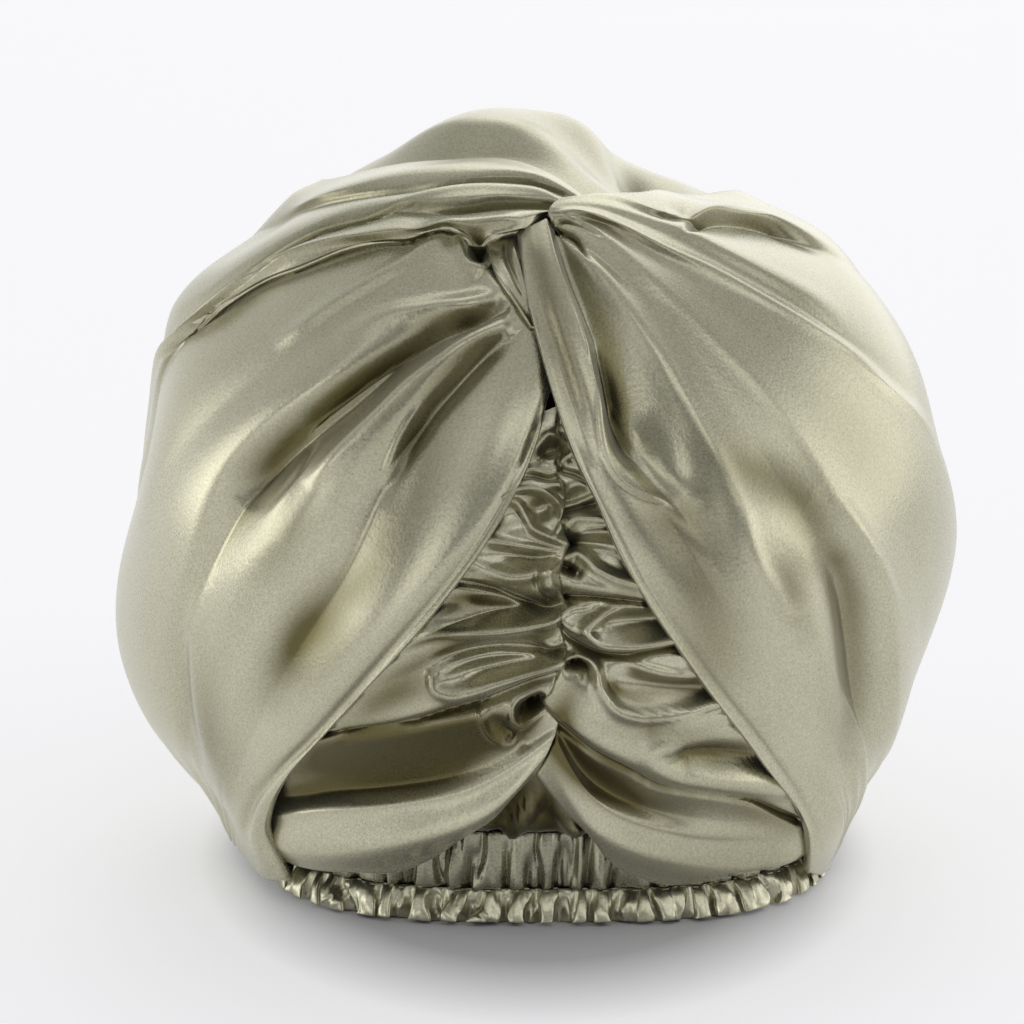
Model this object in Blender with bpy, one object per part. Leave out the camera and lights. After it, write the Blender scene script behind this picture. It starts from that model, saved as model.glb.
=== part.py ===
"""Satin sleep bonnet with a twisted front: an inner crown, two ruched front panels,
two wraps that meet in a twist, a tucked fold, an elastic casing and its frill.

Units are metres, +Z is up and -Y is the front. The origin is on the table,
under the middle of the bonnet, which stands on its frill.
"""

import math
from collections import namedtuple

import bmesh
import bpy
import numpy as np

# ---------------------------------------------------------------- driving sizes
MM = 0.001
HALF_WIDTH = 0.1250  # the filled cap is close to a ball
HALF_DEPTH = 0.1225
HALF_HEIGHT = 0.1255
MIDDLE_HEIGHT = 0.0955  # the ball's middle, above the table

CLOTH = 0.0011  # wall of the wraps, the panels and the tuck
CROWN_WALL = 0.0014
CROWN_COVERED = -11.5  # lift of the crown, in mm, under the wraps and panels
CROWN_AT_EDGES = -4.2  # and under the wraps' upper and rear edges
CROWN_BARE = -1.4  # and where it shows
CROWN_BOTTOM = 0.0276
CROWN_LOWEST = -34.0  # elevation from which the crown turns in to its bottom edge
CROWN_TURN = (0.25, 0.25, 0.62)  # share of the way there, along x, y and z
CROWN_OUTSET = 0.0006
CROWN_GATHERS = 12
CROWN_GATHER_RISE = 1.2  # mm
CROWN_AROUND = 44  # points round the crown, and rows down it
CROWN_ROWS = 14

CASING_X = 0.0025  # the casing sits a little to the right of the ball's middle
CASING_HALF_WIDTH = 0.0808
CASING_FRONT = 0.0820  # from the middle of the casing to its front and back
CASING_BACK = 0.0806
FRONT_SQUARENESS = 3.0  # 2 is an ellipse, more is squarer
BACK_SQUARENESS = 2.3
CASING_WALL = 0.0022
CASING_TOP = 0.0272
CASING_PLEATS = 44
CASING_PLEAT_RISE = 0.0010
FRILL_TOP = 0.0100
FRILL_WALL = 0.0016
FRILL_FLARE = 0.0026
FRILL_FLUTES = 38
FRILL_FLUTE_RISE = 0.0024
RING_GAP = 0.0003
SEAT_HEIGHT = 0.0118  # where the wraps are gathered onto the casing
SEAT_GAP = 0.0011
SEAM_ALLOWANCE = 0.0015
SEAT_FROM = 39.5  # degrees below level where the wraps' lower edge starts to turn in
SEAT_TO = 43.0  # and where it is sewn to the casing
GATHER_DRIFT = ((0.9, 3, 0.6), (0.5, 7, 2.1))  # (size, waves, phase) of uneven gathers
GATHER_POINTS = 4  # points for each pleat and flute
WRAP_POINTS = 30  # points along each fold
PANEL_POINTS = 11
TUCK_POINTS = 7

RIM = -44.4  # elevation of the wraps' lower edge, degrees
HEM_CORNER = -40.0  # and of its two front corners, where the hems end
RIM_SAG = 0.0065  # the wraps sag over the casing, most at this elevation and spread
RIM_SAG_ELEVATION = -48.0
RIM_SAG_SPREAD = 7.0
REAR_EDGE = -40.0  # the wraps' edge is a free rear edge where it is higher than this

# The folds are laid out on a picture plane through the cap's middle, as an eye
# in front of the cap and a little above it sees them.
EYE_DISTANCE = 1.60
EYE_TILT = math.radians(13.0)
EYE_TARGET = np.array([-0.0075, 0.0, 0.1029])
PICTURE_STEP = 0.00030  # one step of the layout grid on the picture plane
PICTURE_MIDDLE = 512.0

SATIN = (0.47, 0.45, 0.33, 1.0)
INNER_SATIN = (0.40, 0.38, 0.27, 1.0)

# Soft departures of the cap from a plain ball: spread in degrees, rise in mm.
Bump = namedtuple("Bump", "name azimuth elevation spread rise")
BODY_BUMPS = (
    Bump("flat top at the right", 95, 72, 21, -13.0),
    Bump("slack beside the puff", -75, 60, 14, -3.0),
    Bump("full left shoulder", -92, 38, 12, 2.0),
    Bump("left waist", -88, 10, 13, -4.0),
    Bump("full left side", -85, -17, 15, 5.0),
    Bump("slack above the left corner", -70, -36, 9, -2.5),
    Bump("left hem corner", -45, -41, 13, 8.5),
    Bump("right hem corner", 49, -40, 13, 9.0),
)
CROWN_BUMPS = (
    Bump("puff", -140, 84, 19, 10.5),
    Bump("hollow right of the puff", 94, 72, 15, -12.0),
    Bump("hollow left of the puff", -108, 66, 12, -3.5),
)
TWIST_HOLLOW = (Bump("hollow under the twist", -2, 58, 10, -7.0),)

# A fold runs from the twist, or from the front seam, outwards. A knot of "seen" is
# (across, down, lift) on the picture plane, one of "behind" is (azimuth, elevation,
# lift) round the side, and a lift is the height in mm above the cap's form.
Fold = namedtuple("Fold", "name seen behind", defaults=((),))

LEFT_WRAP = (
    Fold("hem",
         seen=((562, 366, -6), (548, 396, -2.5), (520, 483, 0), (445, 600, 0.5), (363, 693, 0.5),
               (289, 775, 0.5), (267, 836, 0)),
         behind=((-46, HEM_CORNER, 0),)),
    Fold("flap ridge",
         seen=((548, 340, -6), (500, 420, -0.5), (440, 540, 1), (360, 640, 1.5), (300, 720, 1),
               (255, 800, 0.5)),
         behind=((-65, RIM, 0),)),
    Fold("flap valley",
         seen=((540, 322, -7), (499, 342, -6), (445, 399, -5), (394, 460, -5), (345, 560, -4),
               (290, 650, -2), (243, 760, 0)),
         behind=((-60, -36, 0.5), (-72, RIM, 0))),
    Fold("second ridge",
         seen=((536, 310, -6), (473, 343, -1), (385, 425, 1.5), (300, 510, 2), (240, 640, 1),
               (225, 740, 1)),
         behind=((-66, -36, 0), (-79, RIM, 0))),
    Fold("deep valley",
         seen=((528, 300, -7), (475, 320, -6.5), (415, 354, -6.5), (355, 405, -6), (260, 480, -4),
               (210, 575, -2)),
         behind=((-60, -18, -0.5), (-74, -34, 0), (-87, RIM, 0))),
    Fold("third ridge",
         seen=((518, 284, -7.5), (494, 297, -6), (470, 306, -1), (430, 309, 0), (330, 370, 1),
               (215, 470, 1.5), (175, 590, 1.5)),
         behind=((-70, -18, 1), (-84, -34, 0.5), (-97, RIM, 0))),
    Fold("side hollow",
         seen=((510, 262, -8.5), (487, 272, -7.5), (464, 288, -2), (420, 288, -1), (350, 318, -1),
               (280, 358, -1.5), (170, 460, -0.5)),
         behind=((-76, -5, 0), (-92, -28, 0), (-109, RIM, 0))),
    Fold("under the bands",
         seen=((546, 227, -8.5), (505, 243, -8.5), (440, 238, -5), (418, 246, -4),
               (334, 266, -3.5), (262, 290, -3), (205, 328, -2)),
         behind=((-88, 20, -1), (-104, -8, -0.5), (-118, -32, -0.5), (-124, RIM, 0))),
    Fold("band 4",
         seen=((553, 212, -1.5), (506, 217, -0.5), (446, 221, 0.5), (417, 237, 1),
               (334, 257, 1.5), (262, 277, 2), (199, 318, 2)),
         behind=((-92, 24, 2), (-112, 0, 1.5), (-128, -24, 0.5), (-134, RIM, 0))),
    Fold("between 4 and 3",
         seen=((557, 207, -2.5), (475, 198, -1.5), (412, 206, -1), (325, 235, -1),
               (250, 279, -0.5), (185, 326, 0)),
         behind=((-98, 24, 0), (-122, 4, 0), (-138, -16, 0), (-142, -37, -1.5))),
    Fold("band 2",
         seen=((566, 203, -1.5), (506, 189, 0), (412, 190, 1), (350, 207, 1.5), (250, 256, 2),
               (205, 288, 2)),
         behind=((-104, 30, 2), (-130, 14, 1), (-146, -6, 0), (-148, -28, -1.5))),
    Fold("between 2 and 1",
         seen=((573, 199, -2.5), (540, 185, -2), (462, 181, -1), (417, 188, -1), (350, 197, -0.5),
               (272, 225, -0.5)),
         behind=((-112, 40, 0), (-136, 24, 0), (-150, 4, 0), (-151, -16, -1.5))),
    Fold("band 1",
         seen=((580, 197, -1.5), (540, 175, 0), (462, 169, 0.5), (410, 173, 1), (350, 186, 1.5),
               (305, 202, 1.5)),
         behind=((-118, 49, 1.5), (-140, 32, 1), (-151, 14, 0), (-152, -6, -1.5))),
    Fold("top edge",
         seen=((585, 196, -2), (562, 179, -1.2), (511, 158, -1), (462, 158, -1), (410, 161, -1),
               (385, 165, -1)),
         behind=((-104, 59, -1), (-128, 52, -1), (-146, 38, -1), (-153, 20, -1), (-154, 4, -1.5))),
)

RIGHT_WRAP = (
    Fold("hem",
         seen=((519, 241, -3), (529, 303, 1), (560, 416, 1), (598, 505, 0.5), (646, 601, 0.5),
               (698, 678, 0.5), (760, 760, 0.5), (808, 832, 0)),
         behind=((51, HEM_CORNER, 0),)),
    Fold("strap",
         seen=((534, 234, -2.5), (547, 303, 3.5), (578, 400, 3.5), (622, 495, 2.5), (690, 610, 2),
               (745, 700, 1.5), (800, 790, 0.5)),
         behind=((64, RIM, 0),)),
    Fold("strap ridge",
         seen=((547, 226, -2.5), (561, 274, 3), (580, 322, 4), (600, 400, 3.5), (610, 445, 2.5),
               (662, 510, 2), (735, 625, 1.5), (790, 730, 1)),
         behind=((52, -30, 0.5), (69, RIM, 0))),
    Fold("strap valley",
         seen=((552, 228, -3.5), (572, 292, -4.5), (594, 345, -6), (609, 405, -7), (624, 445, -6),
               (690, 525, -1), (755, 635, 0)),
         behind=((45, -18, 0), (58, -33, 0), (74, RIM, 0))),
    Fold("third ridge",
         seen=((557, 237, -3), (592, 262, 1), (646, 333, 2.5), (697, 419, 3), (741, 505, 3),
               (774, 598, 2.5)),
         behind=((46, -12, 1.5), (63, -32, 0.5), (79, RIM, 0))),
    Fold("long valley",
         seen=((561, 232, -3), (608, 264, -1.5), (650, 302, -1.5), (700, 362, -2),
               (750, 432, -2.5), (800, 512, -3), (850, 609, -2.5)),
         behind=((53, -18, -1.5), (70, -34, -1), (86, RIM, 0))),
    Fold("second ridge",
         seen=((551, 220, -1), (585, 224, 0.5), (639, 265, 1.5), (735, 351, 2), (799, 431, 2),
               (858, 532, 2), (890, 612, 2)),
         behind=((60, -16, 2), (77, -33, 1), (94, RIM, 0))),
    Fold("side hollow",
         seen=((550, 216, 0), (592, 219, 0), (680, 274, -0.5), (770, 347, -1.5), (850, 432, -1.5),
               (900, 520, -1)),
         behind=((68, -8, -0.5), (85, -30, 0), (104, RIM, 0))),
    Fold("first ridge",
         seen=((548, 212, 1), (576, 211, 1.5), (608, 221, 2), (703, 269, 2), (799, 323, 2),
               (863, 368, 2), (926, 429, 2)),
         behind=((88, -4, 1.5), (106, -28, 0.5), (120, RIM, 0))),
    Fold("upper hollow",
         seen=((550, 207, 1.5), (600, 211, 1), (660, 232, 0), (730, 268, 0), (815, 318, 0),
               (880, 375, 0)),
         behind=((92, 8, 0), (114, -20, 0), (131, RIM, 0))),
    Fold("soft ridge",
         seen=((553, 203, 1.5), (600, 204, 1.5), (650, 218, 1.5), (719, 248, 1.5),
               (790, 288, 1.5), (845, 330, 1)),
         behind=((96, 20, 1), (122, -8, 0.5), (142, -39, -1.5))),
    Fold("crease",
         seen=((557, 200, 1.5), (610, 200, 1), (665, 220, -1), (715, 228, -3), (770, 232, -2.5),
               (820, 250, -1)),
         behind=((106, 32, -1), (132, 8, -0.5), (149, -24, -1.5))),
    Fold("crease ridge",
         seen=((561, 198, 1.5), (620, 197, 1), (671, 214, 1), (716, 209, 1.5), (767, 216, 1.5)),
         behind=((104, 44, 1.5), (130, 28, 1.5), (149, 4, 0), (152, -12, -1.5))),
    Fold("top edge",
         seen=((565, 197, 1), (590, 193, 0.5), (633, 191, 0.5), (659, 188, 0.5)),
         behind=((84, 68, 0), (112, 58, 0), (138, 42, 0), (152, 22, -1), (154, 4, -1.5))),
)

TUCK = (
    Fold("under the strap",
         seen=((532, 250, -5), (540, 290, -3.5), (548, 335, -3))),
    Fold("middle",
         seen=((508, 247, -5), (522, 286, -2.5), (540, 330, -2.5))),
    Fold("fold ridge",
         seen=((492, 252, -5), (508, 288, -2.5), (532, 327, -2.5))),
    Fold("outer edge",
         seen=((486, 255, -4.4), (502, 288, -3.4), (528, 329, -3.4))),
)

LEFT_PANEL = (
    Fold("top",
         seen=((561, 404, -6), (543, 412, -5), (528, 420, -4.5))),
    Fold("pinch 1",
         seen=((558, 432, -6.5), (536, 437, -4), (509, 452, -3.5))),
    Fold("valley 1",
         seen=((557, 452, -8.5), (530, 462, -6), (492, 482, -3))),
    Fold("pinch 2",
         seen=((558, 476, -6), (524, 485, -3.2), (472, 514, -2.5))),
    Fold("valley 2",
         seen=((560, 500, -8.5), (515, 512, -5.5), (452, 544, -2.5))),
    Fold("loop ridge",
         seen=((561, 521, -6), (520, 530, -2.5), (432, 572, -2))),
    Fold("valley 3",
         seen=((556, 544, -8.5), (505, 560, -5.5), (412, 600, -2))),
    Fold("bead ridge",
         seen=((558, 576, -5), (505, 588, -2.5), (386, 632, -2))),
    Fold("valley 4",
         seen=((559, 601, -8.5), (490, 616, -5.5), (361, 661, -2))),
    Fold("long ridge",
         seen=((558, 626, -6), (480, 636, -2.2), (339, 686, -2))),
    Fold("valley 5",
         seen=((559, 649, -8.5), (470, 662, -5), (318, 709, -2))),
    Fold("oval ridge",
         seen=((558, 670, -6), (460, 690, -2.5), (300, 731, -2))),
    Fold("valley 6",
         seen=((548, 700, -8), (450, 728, -6), (272, 764, -2.5))),
    Fold("flap crest",
         seen=((554, 726, -4), (477, 764, -1.5), (390, 784, -1), (258, 796, -2.5))),
    Fold("flap belly",
         seen=((546, 750, -4), (480, 806, -1), (390, 836, -0.5)),
         behind=((-52, -36, -2.8),)),
    Fold("flap edge",
         seen=((534, 773, -6), (497, 820, -3.5), (430, 862, -2.5), (348, 884, -2)),
         behind=((-47, -39, -3),)),
)

RIGHT_PANEL = (
    Fold("top",
         seen=((564, 404, -6), (573, 410, -5.5), (582, 416, -5))),
    Fold("pinch 1",
         seen=((561, 432, -6.5), (576, 438, -4.5), (592, 446, -4))),
    Fold("valley 1",
         seen=((560, 452, -8.5), (582, 460, -5.5), (603, 472, -3.5))),
    Fold("pinch 2",
         seen=((561, 476, -6), (591, 484, -3.5), (616, 498, -3))),
    Fold("valley 2",
         seen=((563, 500, -8.5), (602, 508, -5), (634, 526, -3))),
    Fold("loop ridge",
         seen=((564, 521, -6), (608, 532, -3), (648, 552, -2.5))),
    Fold("valley 3",
         seen=((559, 544, -8.5), (612, 562, -5), (662, 580, -2))),
    Fold("bead ridge",
         seen=((561, 576, -5), (620, 592, -2.5), (680, 610, -2))),
    Fold("valley 4",
         seen=((562, 601, -8.5), (625, 616, -5), (698, 638, -2))),
    Fold("long ridge",
         seen=((561, 626, -6), (640, 644, -2), (716, 664, -2))),
    Fold("valley 5",
         seen=((562, 649, -8.5), (650, 668, -4.5), (734, 692, -2))),
    Fold("ring ridge",
         seen=((561, 670, -6), (655, 704, -2), (752, 716, -2))),
    Fold("valley 6",
         seen=((551, 700, -8), (602, 748, -5.5), (688, 786, -4.5), (800, 782, -2.5))),
    Fold("flap crest",
         seen=((557, 727, -4), (611, 786, -1.5), (700, 818, -1)),
         behind=((51, -31, -2.8),)),
    Fold("flap belly",
         seen=((549, 752, -4), (600, 828, -1), (700, 858, -0.5)),
         behind=((53, -37, -2.8),)),
    Fold("flap edge",
         seen=((537, 775, -6), (583, 832, -3.5), (628, 874, -2.5), (715, 888, -1.5)),
         behind=((51, -38.5, -3),)),
)


# ---------------------------------------------------------------- directions
def heading(azimuth, elevation):
    """Unit vector from the cap's middle: azimuth 0 is the front, + is the right."""
    az, el = np.broadcast_arrays(np.radians(azimuth), np.radians(elevation))
    return np.stack([np.sin(az) * np.cos(el), -np.cos(az) * np.cos(el), np.sin(el)], -1)


def unit(vectors):
    return vectors / np.linalg.norm(vectors, axis=-1, keepdims=True)


def bumps_at(directions, bumps):
    """Sum of the soft bumps there, in metres."""
    total = np.zeros(directions.shape[:-1])
    for bump in bumps:
        cosine = directions @ heading(bump.azimuth, bump.elevation)
        away = np.degrees(np.arccos(np.clip(cosine, -1, 1)))
        total += bump.rise * MM * np.exp(-((away / bump.spread) ** 2))
    return total


def body_radius(directions):
    """Distance from the cap's middle to the form that the wraps follow."""
    halves = np.array([HALF_WIDTH, HALF_DEPTH, HALF_HEIGHT])
    ball = 1 / np.linalg.norm(directions / halves, axis=-1)
    elevations = np.degrees(np.arcsin(np.clip(directions[..., 2], -1, 1)))
    sag = RIM_SAG * np.exp(-(((elevations - RIM_SAG_ELEVATION) / RIM_SAG_SPREAD) ** 2))
    return ball + sag + bumps_at(directions, BODY_BUMPS)


MIDDLE = np.array([0.0, 0.0, MIDDLE_HEIGHT])
EYE_UP = np.array([0.0, math.sin(EYE_TILT), math.cos(EYE_TILT)])
EYE_FORWARD = np.array([0.0, math.cos(EYE_TILT), -math.sin(EYE_TILT)])
EYE = EYE_TARGET - EYE_FORWARD * EYE_DISTANCE


def seen_at(across, down, lift):
    """Direction from the cap's middle to what is seen there, lift mm above the cap's form."""
    offset = np.array([across - PICTURE_MIDDLE, 0, 0]) + EYE_UP * (PICTURE_MIDDLE - down)
    ray = unit(EYE_FORWARD * EYE_DISTANCE + offset * PICTURE_STEP)
    start = EYE - MIDDLE
    nearest = start - ray * (start @ ray)
    radius = HALF_WIDTH
    for _ in range(6):
        inside = radius**2 - nearest @ nearest
        direction = unit(nearest - ray * math.sqrt(max(inside, 0)))
        radius = float(body_radius(direction)) + lift * MM
    return direction


# ---------------------------------------------------------------- lofting
def hermite(at, stations, values):
    """Smooth values through the stations; values may be rows."""
    slopes = np.gradient(values, stations, axis=0)
    k = np.clip(np.searchsorted(stations, at, side="right") - 1, 0, len(stations) - 2)
    width = stations[k + 1] - stations[k]
    t = (at - stations[k]) / width
    if values.ndim > 1:
        width, t = width[:, None], t[:, None]
    return (
        (2 * t**3 - 3 * t**2 + 1) * values[k]
        + (t**3 - 2 * t**2 + t) * width * slopes[k]
        + (3 * t**2 - 2 * t**3) * values[k + 1]
        + (t**3 - t**2) * width * slopes[k + 1]
    )


def even_curve(knots, samples):
    """A smooth curve through the knots, sampled at equal steps of its length in space."""
    stations = np.concatenate([[0], np.cumsum(np.linalg.norm(np.diff(knots[:, :3], axis=0), axis=1))])
    fine = np.linspace(0, stations[-1], 20 * len(knots))
    curve = hermite(fine, stations, knots)
    steps = np.linalg.norm(np.diff(curve[:, :3], axis=0), axis=1)
    length = np.concatenate([[0], np.cumsum(steps)])
    wanted = np.linspace(0, length[-1], samples)
    return np.stack([np.interp(wanted, length, curve[:, column]) for column in range(4)], 1)


def fold_line(fold, samples):
    """Directions and lifts along one fold, at equal steps."""
    knots = [(*seen_at(*knot), knot[2]) for knot in fold.seen]
    knots += [(*heading(*knot[:2]), knot[2]) for knot in fold.behind]
    curve = even_curve(np.array(knots), samples)
    return unit(curve[:, :3]), curve[:, 3] * MM


def loft(folds, samples):
    """Grids of directions and of lifts, with one column for each fold."""
    lines = [fold_line(fold, samples) for fold in folds]
    return np.stack([line[0] for line in lines], 1), np.stack([line[1] for line in lines], 1)


# ---------------------------------------------------------------- solids
def new_object(name, points, faces, colour):
    """One closed solid from points and faces, with its own satin material."""
    mesh = bpy.data.meshes.new(name)
    mesh.from_pydata([tuple(map(float, point)) for point in points], [], faces)
    work = bmesh.new()
    work.from_mesh(mesh)
    bmesh.ops.recalc_face_normals(work, faces=work.faces)
    bmesh.ops.triangulate(work, faces=work.faces)
    work.to_mesh(mesh)
    work.free()
    mesh.shade_smooth()
    material = bpy.data.materials.new(name + "_satin")
    material.use_nodes = True
    shader = material.node_tree.nodes["Principled BSDF"]
    shader.inputs["Base Color"].default_value = colour
    shader.inputs["Roughness"].default_value = 0.42
    shader.inputs["Metallic"].default_value = 0.25
    mesh.materials.append(material)
    thing = bpy.data.objects.new(name, mesh)
    bpy.context.scene.collection.objects.link(thing)
    return thing


def grid_faces(rows, columns, first):
    """Quads of a grid of points whose first point has that number."""
    faces = []
    for row in range(rows - 1):
        for column in range(columns - 1):
            corner = first + row * columns + column
            faces.append((corner, corner + 1, corner + columns + 1, corner + columns))
    return faces


def cloth_sheet(name, folds, samples, colour, seated=False):
    """A wall of cloth lofted from fold to fold, closed round its edges."""
    ways, lifts = loft(folds, samples)
    outer = MIDDLE + ways * (body_radius(ways) + lifts)[..., None]
    if seated:
        way = unit(outer[-1] - MIDDLE)
        below = np.degrees(np.arcsin(-way[:, 2]))
        at_rim = ramp(below, SEAT_FROM, SEAT_TO)[:, None]
        azimuths = np.arctan2(outer[-1][:, 0] - CASING_X, -outer[-1][:, 1])
        seat = casing_point(azimuths, CASING_PLEAT_RISE + SEAT_GAP + CLOTH, SEAT_HEIGHT)
        onwards = unit(outer[-1] - outer[-2]) * SEAM_ALLOWANCE
        reach = onwards + (seat - outer[-1] - onwards) * at_rim
        outer = np.concatenate([outer, [outer[-1] + reach / 2], [outer[-1] + reach]])
    inner = outer - unit(outer - MIDDLE) * CLOTH
    rows, columns = outer.shape[:2]
    count = rows * columns
    faces = grid_faces(rows, columns, 0)
    faces += [face[::-1] for face in grid_faces(rows, columns, count)]
    border = [(0, column) for column in range(columns)]
    border += [(row, columns - 1) for row in range(1, rows)]
    border += [(rows - 1, column) for column in range(columns - 2, -1, -1)]
    border += [(row, 0) for row in range(rows - 2, 0, -1)]
    numbers = [row * columns + column for row, column in border]
    for here, there in zip(numbers, numbers[1:] + numbers[:1]):
        faces.append((there, here, here + count, there + count))
    new_object(name, np.concatenate([outer.reshape(-1, 3), inner.reshape(-1, 3)]), faces, colour)
    return ways


def ring_solid(name, sections, colour):
    """A ring whose sections are closed loops of points: sections[corner, around]."""
    corners, around = sections.shape[:2]
    faces = []
    for corner in range(corners):
        for place in range(around):
            after, beside = (corner + 1) % corners, (place + 1) % around
            faces.append((corner * around + place, corner * around + beside,
                          after * around + beside, after * around + place))
    new_object(name, sections.reshape(-1, 3), faces, colour)


def casing_point(azimuths, outset, height):
    """Points of the casing's oval, moved outwards by outset."""
    way = np.stack([np.sin(azimuths), -np.cos(azimuths)], -1)
    in_front = way[..., 1] < 0
    power = np.where(in_front, FRONT_SQUARENESS, BACK_SQUARENESS)
    sideways = np.abs(way[..., 0]) / CASING_HALF_WIDTH
    along = np.abs(way[..., 1]) / np.where(in_front, CASING_FRONT, CASING_BACK)
    reach = (sideways**power + along**power) ** (-1 / power) + outset
    flat = way * reach[..., None] + np.array([CASING_X, 0])
    return np.concatenate([flat, np.full_like(flat[..., :1], height)], -1)


def uneven(azimuths):
    """Drift that makes the gathers wider here and narrower there."""
    return sum(size * np.sin(waves * azimuths + phase) for size, waves, phase in GATHER_DRIFT)


def elastic_casing():
    azimuths = np.linspace(0, 2 * math.pi, CASING_PLEATS * GATHER_POINTS, endpoint=False)
    pleat = CASING_PLEAT_RISE * np.cos(CASING_PLEATS * azimuths + uneven(azimuths))
    bottom = FRILL_TOP + RING_GAP
    corners = ((0, CASING_TOP), (0, bottom), (-CASING_WALL, bottom), (-CASING_WALL, CASING_TOP))
    sections = [casing_point(azimuths, outset + pleat, height) for outset, height in corners]
    ring_solid("elastic_casing", np.stack(sections), INNER_SATIN)


def hem_frill():
    azimuths = np.linspace(0, 2 * math.pi, FRILL_FLUTES * GATHER_POINTS, endpoint=False)
    flute = FRILL_FLUTE_RISE * np.cos(FRILL_FLUTES * azimuths + uneven(azimuths))
    sections = []
    for wall, heights in ((0, (1, 0.5, 0)), (-FRILL_WALL, (0, 0.5, 1))):
        for share in heights:
            outset = wall + FRILL_FLARE * (1 - share**2) + flute * (1 - 0.75 * share)
            sections.append(casing_point(azimuths, outset, FRILL_TOP * share))
    ring_solid("hem_frill", np.stack(sections), SATIN)


def depth_under(ways, covers):
    """Degrees inside the wraps' upper and rear edges; less than 0 where the crown shows."""
    deepest = np.full(ways.shape[:-1], -180.0)
    for cover in covers:
        rear = cover[-1, :, 2] > math.sin(math.radians(REAR_EDGE))
        edge = np.concatenate([cover[:, -1], cover[-1][rear]])
        outwards = edge - unit(cover.mean((0, 1)))
        cosines = ways @ edge.T
        nearest = cosines.argmax(-1)
        away = np.degrees(np.arccos(np.clip(cosines.max(-1), -1, 1)))
        side = np.sum((ways - edge[nearest]) * outwards[nearest], -1)
        deepest = np.maximum(deepest, np.where(side > 0, -away, away))
    return deepest


def ramp(values, low, high):
    """Smooth step from 0 at low to 1 at high."""
    t = np.clip((values - low) / (high - low), 0, 1)
    return t * t * (3 - 2 * t)


def crown_lift(ways, covers):
    """Low under the wraps, tucked under their edges, and full where it shows."""
    depth = depth_under(ways, covers)
    bare = ramp(-depth, 1.5, 9)
    covered = ramp(depth, 0.5, 7)
    azimuths = np.arctan2(ways[..., 0], -ways[..., 1])
    gathers = CROWN_GATHER_RISE * np.cos(CROWN_GATHERS * azimuths) * ramp(-ways[..., 2], -0.75, 0.5)
    lift = CROWN_AT_EDGES + (CROWN_BARE + gathers - CROWN_AT_EDGES) * bare
    lift = lift + (CROWN_COVERED - CROWN_AT_EDGES) * covered
    return lift * MM + bumps_at(ways, CROWN_BUMPS) * bare + bumps_at(ways, TWIST_HOLLOW)


def softened(lifts):
    """Each lift shared with its neighbours round the crown and down it."""
    lifts = (np.roll(lifts, 1, 1) + 2 * lifts + np.roll(lifts, -1, 1)) / 4
    padded = np.concatenate([lifts[:1], lifts, lifts[-1:]])
    return (padded[:-2] + 2 * lifts + padded[2:]) / 4


def crown(covers):
    """The inner cap: a dome, gathered in at the bottom onto the casing."""
    around = CROWN_AROUND
    azimuths = np.linspace(0, 360, around, endpoint=False)
    elevations = np.linspace(90, CROWN_LOWEST, CROWN_ROWS + 1)[1:]
    ways = heading(azimuths[None, :], elevations[:, None])
    lifts = softened(crown_lift(ways, covers))
    outer = MIDDLE + ways * (body_radius(ways) + lifts)[..., None]
    seat = casing_point(np.radians(azimuths), CROWN_OUTSET, CROWN_BOTTOM)
    turn = outer[-1] + (seat - outer[-1]) * np.array(CROWN_TURN)
    outer = np.concatenate([outer, turn[None], seat[None]])
    pole = MIDDLE + heading(0, 90) * (body_radius(heading(0, 90)) + lifts[0].mean())
    inwards = unit(MIDDLE - outer)
    inwards[-2:] = unit(MIDDLE + np.array([0, 0, 0.02]) - outer[-2:])
    inner = outer + inwards * CROWN_WALL
    inner[-1] = outer[-1] + unit((outer[-1] - MIDDLE) * np.array([-1, -1, 0])) * CROWN_WALL
    points = np.concatenate([outer.reshape(-1, 3), inner.reshape(-1, 3),
                             [pole], [pole - np.array([0, 0, CROWN_WALL])]])
    count, half = outer.size // 3, outer.shape[0]
    faces = []
    for side in (0, count):
        for row in range(half - 1):
            for place in range(around):
                beside = (place + 1) % around
                corner = side + row * around
                quad = (corner + place, corner + beside, corner + around + beside, corner + around + place)
                faces.append(quad if side else quad[::-1])
        for place in range(around):
            cap = (2 * count + (side > 0), side + place, side + (place + 1) % around)
            faces.append(cap[::-1] if side else cap)
    first = (half - 1) * around
    for place in range(around):
        beside = (place + 1) % around
        faces.append((first + place, first + beside, count + first + beside, count + first + place))
    new_object("crown", points, faces, INNER_SATIN)


# ---------------------------------------------------------------- the bonnet
def build():
    for thing in list(bpy.data.objects):
        bpy.data.objects.remove(thing)
    left = cloth_sheet("wrap_left", LEFT_WRAP, WRAP_POINTS, SATIN, seated=True)
    right = cloth_sheet("wrap_right", RIGHT_WRAP, WRAP_POINTS, SATIN, seated=True)
    cloth_sheet("twist_tuck", TUCK, TUCK_POINTS, SATIN)
    cloth_sheet("front_panel_left", LEFT_PANEL, PANEL_POINTS, SATIN)
    cloth_sheet("front_panel_right", RIGHT_PANEL, PANEL_POINTS, SATIN)
    crown((left, right))
    elastic_casing()
    hem_frill()


build()
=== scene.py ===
import math
from collections import namedtuple
from functools import partialmethod

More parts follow.
